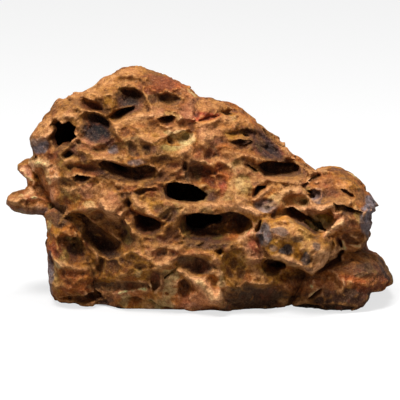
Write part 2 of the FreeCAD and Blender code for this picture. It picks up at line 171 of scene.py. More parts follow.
def polygon_distance(points, u, v):
    """Signed distance in the view plane to a closed polygon (negative inside), on broadcast arrays u, v."""
    p = np.array(points, f32)
    best = None
    inside = None
    for (ax, ay), (bx, by) in zip(p, np.roll(p, -1, 0)):
        ex, ey = bx - ax, by - ay
        t = np.clip(((u - ax) * ex + (v - ay) * ey) / (ex * ex + ey * ey + 1e-9), 0, 1)
        d = (u - ax - t * ex) ** 2 + (v - ay - t * ey) ** 2
        best = d if best is None else np.minimum(best, d)
        cross = ((ay <= v) & (by > v)) | ((by <= v) & (ay > v))
        xi = ax + (v - ay) / (ey if abs(ey) > 1e-9 else 1e-9) * ex
        hit = cross & (u < xi)
        inside = hit if inside is None else inside ^ hit
    d = np.sqrt(best)
    return np.where(inside, -d, d).astype(f32)


print("block", SHAPE, NU * NV * NW / 1e6, "M")
FORMS["slab"] = [(z, l, r, f + 6, b) for z, l, r, f, b in FORMS["slab"]]
fields = {n: form_field(n, caps=(n not in ("rock", "boulder", "block"), True)) for n in FORMS}
SLAB = [(257, 219), (262, 214), (284, 212), (300, 219), (318, 231), (332, 237), (341, 243), (339, 255), (325, 262), (311, 271),
        (296, 265), (284, 261), (262, 256), (258, 240)]
fields["slab"] = smax(fields["slab"], polygon_distance([sheet(q) for q in SLAB], U1[:, None], V1[None, :])[:, :, None] - 1.5, 3.0)
clock("forms")
n35, n15, n7, n3 = noise(34, 1), noise(15, 2), noise(7, 3), noise(3.2, 4)
clock("noise")
F = fields["rock"]
for n, k in (("shoulder", 5), ("boulder", 4), ("block", 5), ("spur", 4), ("slab", 2.5)):
    F = smin(F, fields[n], k)
F = F + f32(2.6) * n35 + f32(1.2) * n15
edge = polygon_distance([sheet(p) for p in OUTLINE], U1[:, None], V1[None, :])
edge += 0.9 * noise2(9, 41) + 0.5 * noise2(3.5, 42)
lower = np.clip((12.0 - ZZ) / 6.0, 0, 1)[None] * np.clip((58.0 - W1) / 4.0, 0, 1)[None, None, :]
inner_foot = np.clip(1 - np.abs(U1 + 46.0) / 30.0, 0, 1)[:, None, None] > 0
F = smax(F, np.where(inner_foot, edge[:, :, None] - 16.0 * lower, edge[:, :, None] + 0 * lower), 5.5)
F = smax(F, (-78.0 - YY)[None], 4.0).astype(f32)
clock("outline")

# warped coordinates make every listed hollow irregular
DU = (1.5 * n15 * 1.0 + 0.9 * n7).astype(f32)
DV = (1.5 * np.roll(n15, 37, 0) * 1.0 + 0.9 * np.roll(n7, 23, 0)).astype(f32)
DW = (1.2 * np.roll(n15, 51, 1) + 0.8 * np.roll(n7, 31, 1)).astype(f32)


def front_depth(field):
    """Height of the front surface towards the viewer at each (u, v), carried a little past the outline."""
    inside = field < 0
    last = NW - 1 - np.argmax(inside[:, :, ::-1], axis=2)
    hit = inside.any(axis=2)
    z = W1[last].astype(f32)
    a = np.take_along_axis(field, last[..., None], 2)[..., 0]
    b = np.take_along_axis(field, np.minimum(last + 1, NW - 1)[..., None], 2)[..., 0]
    z += np.clip(a / np.minimum(a - b, -1e-6), 0, 1) * VOX
    z = np.where(hit, z, 0)
    for _ in range(60):
        if hit.all():
            break
        t = np.zeros_like(z); c = np.zeros_like(z)
        for ax, sh in ((0, 1), (0, -1), (1, 1), (1, -1)):
            h = np.roll(hit, sh, ax)
            t += np.where(h, np.roll(z, sh, ax), 0); c += h
        new = (~hit) & (c > 0)
        z = np.where(new, t / np.maximum(c, 1), z)
        hit = hit | new
    return z.astype(f32)


U2 = U1[:, None] + 3.2 * noise2(16, 21) + 1.5 * noise2(7, 22) + 0.5 * noise2(3, 23)
V2 = V1[None, :] + 3.2 * noise2(16, 24) + 1.5 * noise2(7, 25) + 0.5 * noise2(3, 26)
GRAIN_TURN = [  # how the scallops lie: place on the sheet, reach, turn
    ((70, 240), 50, 50), ((200, 220), 60, 4), ((270, 150), 40, 38), ((300, 240), 40, 28), ((120, 120), 50, 30),
    ((120, 170), 40, 6), ((230, 290), 60, 15), ((350, 215), 40, 25), ((340, 285), 50, 10), ((60, 150), 40, -30),
]


def lie(px, py):
    ws = [math.exp(-((px - c[0]) ** 2 + (py - c[1]) ** 2) / r ** 2) + 1e-6 for c, r, t in GRAIN_TURN]
    return sum(w * t for w, (c, r, t) in zip(ws, GRAIN_TURN)) / sum(ws)


def scallop_map(cell, seed, aspect, spread, lift=0.35):
    """Concave bowls that meet in crests: the lower envelope of paraboloids on a jittered grid, 0 in the
    middle of a bowl and about 1 on the crests."""
    rng = np.random.default_rng(seed)
    h = np.full((NU, NV), 9.0, f32)
    for gu in np.arange(U1[0] - cell, U1[-1] + cell, cell):
        for gv in np.arange(V1[0] - cell, V1[-1] + cell, cell):
            cu, cv = gu + rng.uniform(-0.5, 0.5) * cell, gv + rng.uniform(-0.5, 0.5) * cell
            s = cell * rng.uniform(0.55, 1.15)
            asp = aspect * rng.uniform(0.75, 1.3)
            a, b = s * asp ** 0.5, s / asp ** 0.5
            t = math.radians(-(lie(cu / UNIT + 200, 313.5 - (cv + 14.6) / UNIT) + rng.normal() * spread))
            o = rng.uniform(0, lift)
            r = 1.6 * max(a, b)
            su, sv = span(U1, cu - r - 4, cu + r + 4), span(V1, cv - r - 4, cv + r + 4)
            if su.stop - su.start < 2 or sv.stop - sv.start < 2:
                continue
            du, dv = U2[su, sv] - cu, V2[su, sv] - cv
            x, y = du * math.cos(t) + dv * math.sin(t), -du * math.sin(t) + dv * math.cos(t)
            h[su, sv] = np.minimum(h[su, sv], (x / a) ** 2 + (y / b) ** 2 + o)
    return np.minimum(h, 1.25)


def span(axis, lo, hi):
    a = int(np.clip(math.floor((lo - axis[0]) / VOX), 0, len(axis) - 1))
    b = int(np.clip(math.ceil((hi - axis[0]) / VOX) + 1, 1, len(axis)))
    return slice(a, b)


def sheet_blob(row):
    """Normalised position inside an ellipse given on the sheet: (x, y, half axes, turn)."""
    cx, cy, a, b, turn = row[:5]
    cu, cv = sheet((cx, cy))
    t = math.radians(-turn)
    du, dv = U2 - cu, V2 - cv
    x, y = du * math.cos(t) + dv * math.sin(t), -du * math.sin(t) + dv * math.cos(t)
    return np.exp(-((x / (a * UNIT)) ** 2 + (y / (b * UNIT)) ** 2)), dv


LEDGES = [  # parts of the front that lean back and catch the light from above: x, y, half axes, turn, lean
    (257, 184, 44, 26, -6, 0.30), (97, 97, 60, 16, -30, 0.45), (146, 116, 37, 10, -23, 0.5), (109, 195, 23, 18, 59, 0.35),
    (225, 127, 34, 9, -24, 0.6), (108, 154, 24, 7, 10, 0.5), (280, 221, 21, 9, 26, 0.6), (161, 133, 27, 8, -5, 0.6),
    (331, 203, 29, 8, -6, 0.6), (320, 253, 16, 11, -66, 0.35), (194, 210, 22, 6, -14, 0.6), (191, 248, 20, 8, 12, 0.5),
    (162, 260, 14, 7, -67, 0.4), (283, 145, 29, 5, 43, 0.5), (145, 201, 11, 9, -66, 0.4), (211, 107, 16, 7, -2, 0.6),
    (284, 256, 21, 5, 16, 0.6), (184, 143, 15, 5, -28, 0.6), (191, 277, 16, 5, 41, 0.5), (293, 302, 17, 4, -18, 0.6),
    (254, 269, 14, 4, 58, 0.4), (164, 200, 14, 6, 52, 0.4), (334, 226, 17, 4, -47, 0.5), (73, 190, 11, 5, 29, 0.5),
    (93, 268, 11, 5, 70, 0.4), (43, 131, 9, 8, -54, 0.5), (240, 243, 13, 6, -78, 0.4), (55, 173, 10, 6, -9, 0.5),
    (21, 196, 20, 5, -35, 0.6), (213, 290, 13, 4, 52, 0.5), (42, 162, 11, 4, -35, 0.5), (60, 149, 8, 4, -8, 0.5),
    (137, 244, 6, 4, -79, 0.5), (215, 259, 6, 4, 31, 0.5), (214, 162, 7, 4, -47, 0.6), (218, 272, 6, 4, -58, 0.5),
    (74, 161, 6, 4, -24, 0.5), (252, 235, 4, 4, 18, 0.5), (315, 169, 6, 3, 31, 0.5), (343, 184, 8, 4, -4, 0.4),
]
UNDERCUTS = [  # parts that lean forward and lie in shade
    (110, 108, 40, 22, -18, 0.30), (209, 224, 40, 12, -7, 0.4), (279, 169, 33, 9, 1, 0.5), (124, 173, 30, 9, 5, 0.5),
    (302, 222, 26, 8, 40, 0.4), (96, 240, 32, 10, 54, 0.5), (265, 144, 23, 6, 42, 0.5), (42, 182, 8, 15, 0, 0.4),
    (25, 208, 12, 6, 5, 0.5), (157, 280, 6, 12, 0, 0.4), (120, 285, 32, 6, 0, 0.6), (250, 298, 34, 12, 0, 0.3),
    (340, 300, 44, 10, 0, 0.5), (328, 262, 14, 6, -23, 0.6), (352, 240, 16, 7, 0, 0.6), (197, 266, 10, 8, -41, 0.4),
    (60, 218, 16, 6, 0, 0.5), (96, 294, 20, 6, 5, 0.6), (230, 293, 13, 5, 28, 0.4), (155, 175, 16, 6, 0, 0.4),
]

relief = 5.4 * scallop_map(21, 31, 1.7, 16) + 3.5 * scallop_map(11, 32, 1.5, 25) + 1.8 * scallop_map(5.2, 33, 1.4, 40)
relief += 0.9 * scallop_map(2.8, 34, 1.2, 60) + 0.5 * noise2(5, 35) + 0.45 * noise2(2.4, 36)
relief -= relief.mean()
for row in LEDGES:
    g, dv = sheet_blob(row)
    relief -= row[5] * 1.3 * dv * g
for row in UNDERCUTS:
    g, dv = sheet_blob(row)
    relief += row[5] * 1.3 * dv * g - 2.0 * g
facing = np.gradient(F, VOX, axis=2).astype(f32)
facing = np.clip(facing, 0, 1)
F -= relief[:, :, None].astype(f32) * facing
clock("front relief")
TOP = front_depth(F)


def top_at(u, v):
    i = int(np.clip(round((u - U1[0]) / VOX), 0, NU - 1)); j = int(np.clip(round((v - V1[0]) / VOX), 0, NV - 1))
    return float(TOP[i, j])


def warp_at(u, v, w):
    i = int(np.clip(round((u - U1[0]) / VOX), 0, NU - 1)); j = int(np.clip(round((v - V1[0]) / VOX), 0, NV - 1))
    k = int(np.clip(round((w - W1[0]) / VOX), 0, NW - 1))
    return float(DU[i, j, k]), float(DV[i, j, k]), float(DW[i, j, k])


def patch_work(points, depth, taper=0.25, tilt=(0.0, 0.0), round_=3.0, rough=0.5):
    """Cuts (depth > 0) or raises (depth < 0) a region given by an outline in the view.
    Walls close in by taper per mm of depth, the hollow leans by tilt, and its floor is rounded."""
    pts = np.array([sheet(p) for p in points])
    cu, cv = pts.mean(0)
    cw = top_at(cu, cv)
    reach = abs(depth) + 13
    m = 13 + max(0, depth) * max(abs(tilt[0]), abs(tilt[1]))
    su = span(U1, pts[:, 0].min() - m, pts[:, 0].max() + m)
    sv = span(V1, pts[:, 1].min() - m, pts[:, 1].max() + m)
    t = TOP[su, sv]
    if depth > 0:
        sw = span(W1, t.min() - reach, t.max() + 12)
    else:
        sw = span(W1, t.min() - 6, t.max() + reach)
    wu, wv, _ = warp_at(cu, cv, cw)
    u = U1[su][:, None, None] + DU[su, sv, sw] - wu
    v = V1[sv][None, :, None] + DV[su, sv, sw] - wv
    s = t[:, :, None] - W1[sw][None, None, :]
    sp = np.clip(s, -4, None)
    if depth > 0:
        d2 = polygon_distance(pts, u - tilt[0] * sp, v - tilt[1] * sp)
        g = smax(d2 + taper * sp, s - depth, round_) + rough * n3[su, sv, sw]
        F[su, sv, sw] = smax(F[su, sv, sw], -g, 0.8)
    else:
        d2 = polygon_distance(pts, u - tilt[0] * sp, v - tilt[1] * sp)
        g = smax(smax(d2 + taper * np.clip(-s, 0, None), -s + depth, round_), s - 8, 2) + rough * n3[su, sv, sw]
        F[su, sv, sw] = smin(F[su, sv, sw], g, 1.6)


def pit(px, py, a, b, turn, depth, tilt=(0.0, 0.0), rough=0.4):
    """A rounded hollow: half axes a, b in drawing units, turn in degrees clockwise on the sheet, depth in mm."""
    cu, cv = sheet((px, py))
    a, b = a * UNIT, b * UNIT
    c = depth / 0.8
    cw = top_at(cu, cv) + 0.2 * c
    r = max(a, b) + 3
    su, sv = span(U1, cu - r - depth * abs(tilt[0]), cu + r + depth * abs(tilt[0])), span(V1, cv - r - depth * abs(tilt[1]), cv + r + depth * abs(tilt[1]))
    sw = span(W1, cw - c - 3, cw + c + 3)
    wu, wv, ww = warp_at(cu, cv, cw)
    w = W1[sw][None, None, :] + DW[su, sv, sw] - ww - cw
    u = U1[su][:, None, None] + DU[su, sv, sw] - wu - cu + tilt[0] * w
    v = V1[sv][None, :, None] + DV[su, sv, sw] - wv - cv + tilt[1] * w
    t = math.radians(-turn)
    x, y = u * math.cos(t) + v * math.sin(t), -u * math.sin(t) + v * math.cos(t)
    q = np.sqrt((x / a) ** 2 + (y / b) ** 2 + (w / c) ** 2)
    g = (q - 1) * min(a, b, c) + rough * n3[su, sv, sw]
    F[su, sv, sw] = smax(F[su, sv, sw], -g, 0.8)


def tent(points, width, height, closed=False):
    """Raises a sharp crest along a line of drawing points: height on the line, nothing width away."""
    pts = np.array([sheet(p) for p in points], f32)
    su = span(U1, pts[:, 0].min() - width - 5, pts[:, 0].max() + width + 5)
    sv = span(V1, pts[:, 1].min() - width - 5, pts[:, 1].max() + width + 5)
    cu, cv = pts.mean(0)
    ci = int(np.clip(round((cu - U1[0]) / VOX), 0, NU - 1)); cj = int(np.clip(round((cv - V1[0]) / VOX), 0, NV - 1))
    u = U1[su][:, None] + 0.6 * (U2[su, sv] - U1[su][:, None]) - 0.6 * (U2[ci, cj] - U1[ci])
    v = V1[sv][None, :] + 0.6 * (V2[su, sv] - V1[sv][None, :]) - 0.6 * (V2[ci, cj] - V1[cj])
    best = None
    seq = list(zip(pts[:-1], pts[1:])) + ([(pts[-1], pts[0])] if closed else [])
    for a, b in seq:
        e = b - a
        t = np.clip(((u - a[0]) * e[0] + (v - a[1]) * e[1]) / max(float(e @ e), 1e-6), 0, 1)
        d = np.sqrt((u - a[0] - t * e[0]) ** 2 + (v - a[1] - t * e[1]) ** 2)
        best = d if best is None else np.minimum(best, d)
    x = np.clip(1 - best / width, 0, 1)
    CREST[su, sv] = np.maximum(CREST[su, sv], height * x ** 1.3)


# ---------------------------------------------------------------------------
# Scallops all over: the same kind of weathering on the sides, back and top
# ---------------------------------------------------------------------------
def gradient_at(i, j, k):
    i = np.clip(i, 2, NU - 3); j = np.clip(j, 2, NV - 3); k = np.clip(k, 2, NW - 3)
    g = np.stack([F[i + 2, j, k] - F[i - 2, j, k], F[i, j + 2, k] - F[i, j - 2, k], F[i, j, k + 2] - F[i, j, k - 2]], -1)
    return g / np.maximum(np.linalg.norm(g, axis=-1, keepdims=True), 1e-6)


def scatter(seed, count, keep, lo, hi, deep, flat=(0.55, 1.0), rough=0.35):
    """Random ellipsoidal scallops whose centres sit just off the surface; keep(u, v, w, normal) picks where."""
    rng = np.random.default_rng(seed)
    near = np.argwhere(np.abs(F) < VOX * 0.8)
    pick = near[rng.choice(len(near), size=min(len(near), count * 8), replace=False)]
    nrm = gradient_at(pick[:, 0], pick[:, 1], pick[:, 2])
    pos = np.stack([U1[pick[:, 0]], V1[pick[:, 1]], W1[pick[:, 2]]], -1)
    ok = keep(pos, nrm)
    pos, nrm = pos[ok][:count], nrm[ok][:count]
    for p, n in zip(pos, nrm):
        r = lo + (hi - lo) * rng.random() ** 1.6
        a, b, c = r, r * rng.uniform(*flat), r * rng.uniform(0.7, 1.1)
        h = deep * rng.uniform(0.6, 1.3) * r
        t1 = np.cross(n, rng.normal(size=3)); t1 /= max(np.linalg.norm(t1), 1e-6)
        t2 = np.cross(n, t1)
        centre = p + n * (c - h)
        m = max(a, b, c) + 1.5
        su, sv, sw = [span(A, centre[i] - m, centre[i] + m) for i, A in enumerate((U1, V1, W1))]
        du = U1[su][:, None, None] - centre[0]; dv = V1[sv][None, :, None] - centre[1]; dw = W1[sw][None, None, :] - centre[2]
        qa = (du * t1[0] + dv * t1[1] + dw * t1[2]) / a
        qb = (du * t2[0] + dv * t2[1] + dw * t2[2]) / b
        qc = (du * n[0] + dv * n[1] + dw * n[2]) / c
        q = np.sqrt(qa ** 2 + qb ** 2 + qc ** 2)
        g = (q - 1) * min(a, b, c) + rough * n3[su, sv, sw]
        F[su, sv, sw] = smax(F[su, sv, sw], -g, 0.5).astype(f32)
away = lambda pos, nrm: (nrm[:, 2] < 0.30) & (nrm[:, 1] > -0.8)
bulk = lambda pos, nrm: away(pos, nrm) & ~((pos[:, 0] < -104) & (pos[:, 1] > 52) & (pos[:, 1] < 112))
scatter(11, 110, bulk, 13, 24, 0.34, rough=0.5)
scatter(12, 420, bulk, 6, 12, 0.34)
scatter(15, 900, away, 3, 6, 0.36)
clock("back scallops")
REAR_HOLES = [  # x, z, y of the centre, half width, half height, half depth, turn
    (-38, 34, 74.5, 26, 20, 30, 0), (38, 78, 70.5, 18, 9, 24, -14), (-70, 110, 60.5, 11, 9, 20, 20), (0, 128, 58.5, 14, 8, 16, 8),
]
BASE = F.copy()
CREST = np.zeros((NU, NV), f32)
# ---------------------------------------------------------------------------
# Raised plates, lips and crests of the front
# ---------------------------------------------------------------------------
PLATES = [  # outline, height, taper, tilt
    ([(97, 192), (108, 188), (122, 190), (126, 198), (124, 210), (119, 218), (108, 216), (102, 206)], 7, 0.5, (0, 0)),
    ([(258, 224), (262, 217), (280, 214), (296, 222), (310, 232), (330, 238), (338, 244), (334, 252), (322, 262), (311, 271),
      (302, 266), (288, 262), (270, 260), (262, 256), (259, 240)], 5, 0.35, (0, 0)),
    ([(228, 186), (240, 182), (252, 184), (248, 196), (250, 206), (240, 210), (228, 204)], 4, 0.8, (0, 0)),
    ([(104, 92), (112, 90), (116, 98), (116, 108), (112, 116), (105, 112), (103, 102)], 4, 0.6, (0, 0)),
    ([(189, 284), (197, 277), (212, 284), (224, 296), (222, 306), (204, 308), (190, 304)], 4, 0.7, (0, 0)),
    ([(66, 262), (82, 266), (99, 268), (101, 276), (90, 280), (87, 292), (70, 294), (60, 284)], 4, 0.6, (0, 0)),
    ([(102, 256), (124, 254), (144, 255), (152, 264), (152, 276), (130, 278), (106, 274)], 4, 0.6, (0, 0)),
    ([(330, 270), (350, 262), (372, 262), (384, 272), (384, 284), (362, 290), (338, 288)], 4, 0.8, (0, 0)),
    ([(118, 74), (141, 69), (170, 77), (190, 90), (182, 95), (160, 92), (138, 84), (120, 82)], 4, 0.6, (0, 0)),
    ([(262, 180), (300, 182), (322, 176), (340, 172), (352, 182), (336, 186), (306, 183), (280, 184)], 4, 0.7, (0, 0)),
]
for pts, height, taper, tilt in PLATES:
    patch_work(pts, -height, taper, tilt, 3.0)

RIDGES = [  # points, radius, height
    ([(182, 206), (200, 208), (220, 206), (240, 208), (256, 213)], 3.0, 3.6),
    ([(176, 224), (181, 213), (190, 204)], 2.2, 3.4),
    ([(166, 203), (178, 207), (192, 206), (202, 202)], 2.4, 3.0),
    ([(78, 128), (83, 133), (77, 140), (70, 147), (62, 154)], 2.2, 3.6),
    ([(64, 114), (76, 118), (82, 126)], 3.0, 3.0),
    ([(116, 127), (126, 121), (140, 117), (156, 113)], 3.4, 3.0),
    ([(118, 186), (138, 184), (152, 180), (159, 172)], 2.2, 2.8),
    ([(80, 150), (92, 156), (100, 161)], 2.2, 2.8),
    ([(132, 199), (142, 206), (154, 215), (166, 210), (178, 204)], 2.4, 3.2),
    ([(134, 217), (132, 228), (137, 242), (136, 250)], 2.4, 3.0),
    ([(145, 244), (160, 246), (176, 248), (190, 244), (200, 246)], 2.6, 3.0),
    ([(146, 250), (152, 260), (162, 268), (172, 264)], 2.6, 2.6),
    ([(182, 268), (192, 276), (202, 286), (212, 296)], 3.0, 3.2),
    ([(212, 256), (217, 264), (220, 274)], 2.4, 2.6),
    ([(248, 262), (254, 270), (262, 278)], 2.6, 2.6),
    ([(256, 200), (263, 193), (270, 187)], 2.0, 4.0),
    ([(242, 168), (254, 176), (266, 181), (290, 181), (306, 178)], 2.4, 2.6),
    ([(306, 178), (314, 172), (326, 170)], 2.6, 3.0),
    ([(284, 192), (296, 190), (306, 194)], 2.2, 2.4),
    ([(300, 210), (316, 211), (330, 208)], 2.2, 2.6),
    ([(324, 236), (332, 228), (340, 222)], 2.4, 3.0),
    ([(160, 150), (176, 154), (190, 150), (195, 140)], 2.4, 3.0),
    ([(196, 128), (206, 126), (222, 120), (228, 124)], 2.4, 2.4),
    ([(226, 152), (240, 156), (256, 158), (268, 160)], 3.0, 2.4),
    ([(262, 126), (272, 134), (284, 144), (296, 156)], 2.6, 3.0),
    ([(243, 124), (256, 132), (262, 142)], 2.6, 2.4),
    ([(60, 98), (74, 94), (90, 94), (102, 98)], 3.2, 2.6),
    ([(35, 132), (42, 124), (50, 120)], 2.6, 2.4),
    ([(57, 258), (68, 264), (80, 268), (94, 266)], 2.4, 2.6),
    ([(80, 226), (88, 238), (96, 250), (98, 264)], 2.2, 3.0),
    ([(226, 246), (236, 242), (246, 240)], 2.2, 2.4),
    ([(280, 300), (294, 301), (309, 298)], 2.2, 3.0),
    ([(264, 258), (284, 262), (300, 265), (311, 272), (324, 262), (338, 251)], 2.2, 5.4),
    ([(101, 204), (108, 216), (119, 219), (126, 210)], 2.0, 6.6),
    ([(14, 203), (26, 208), (44, 206)], 2.6, 2.0),
    ([(206, 166), (216, 160), (226, 164)], 2.4, 2.6),
    ([(70, 192), (82, 188), (94, 192)], 2.6, 2.4),
]
for pts, radius, height in RIDGES:
    tent(pts, radius * 1.9, height * 0.9)

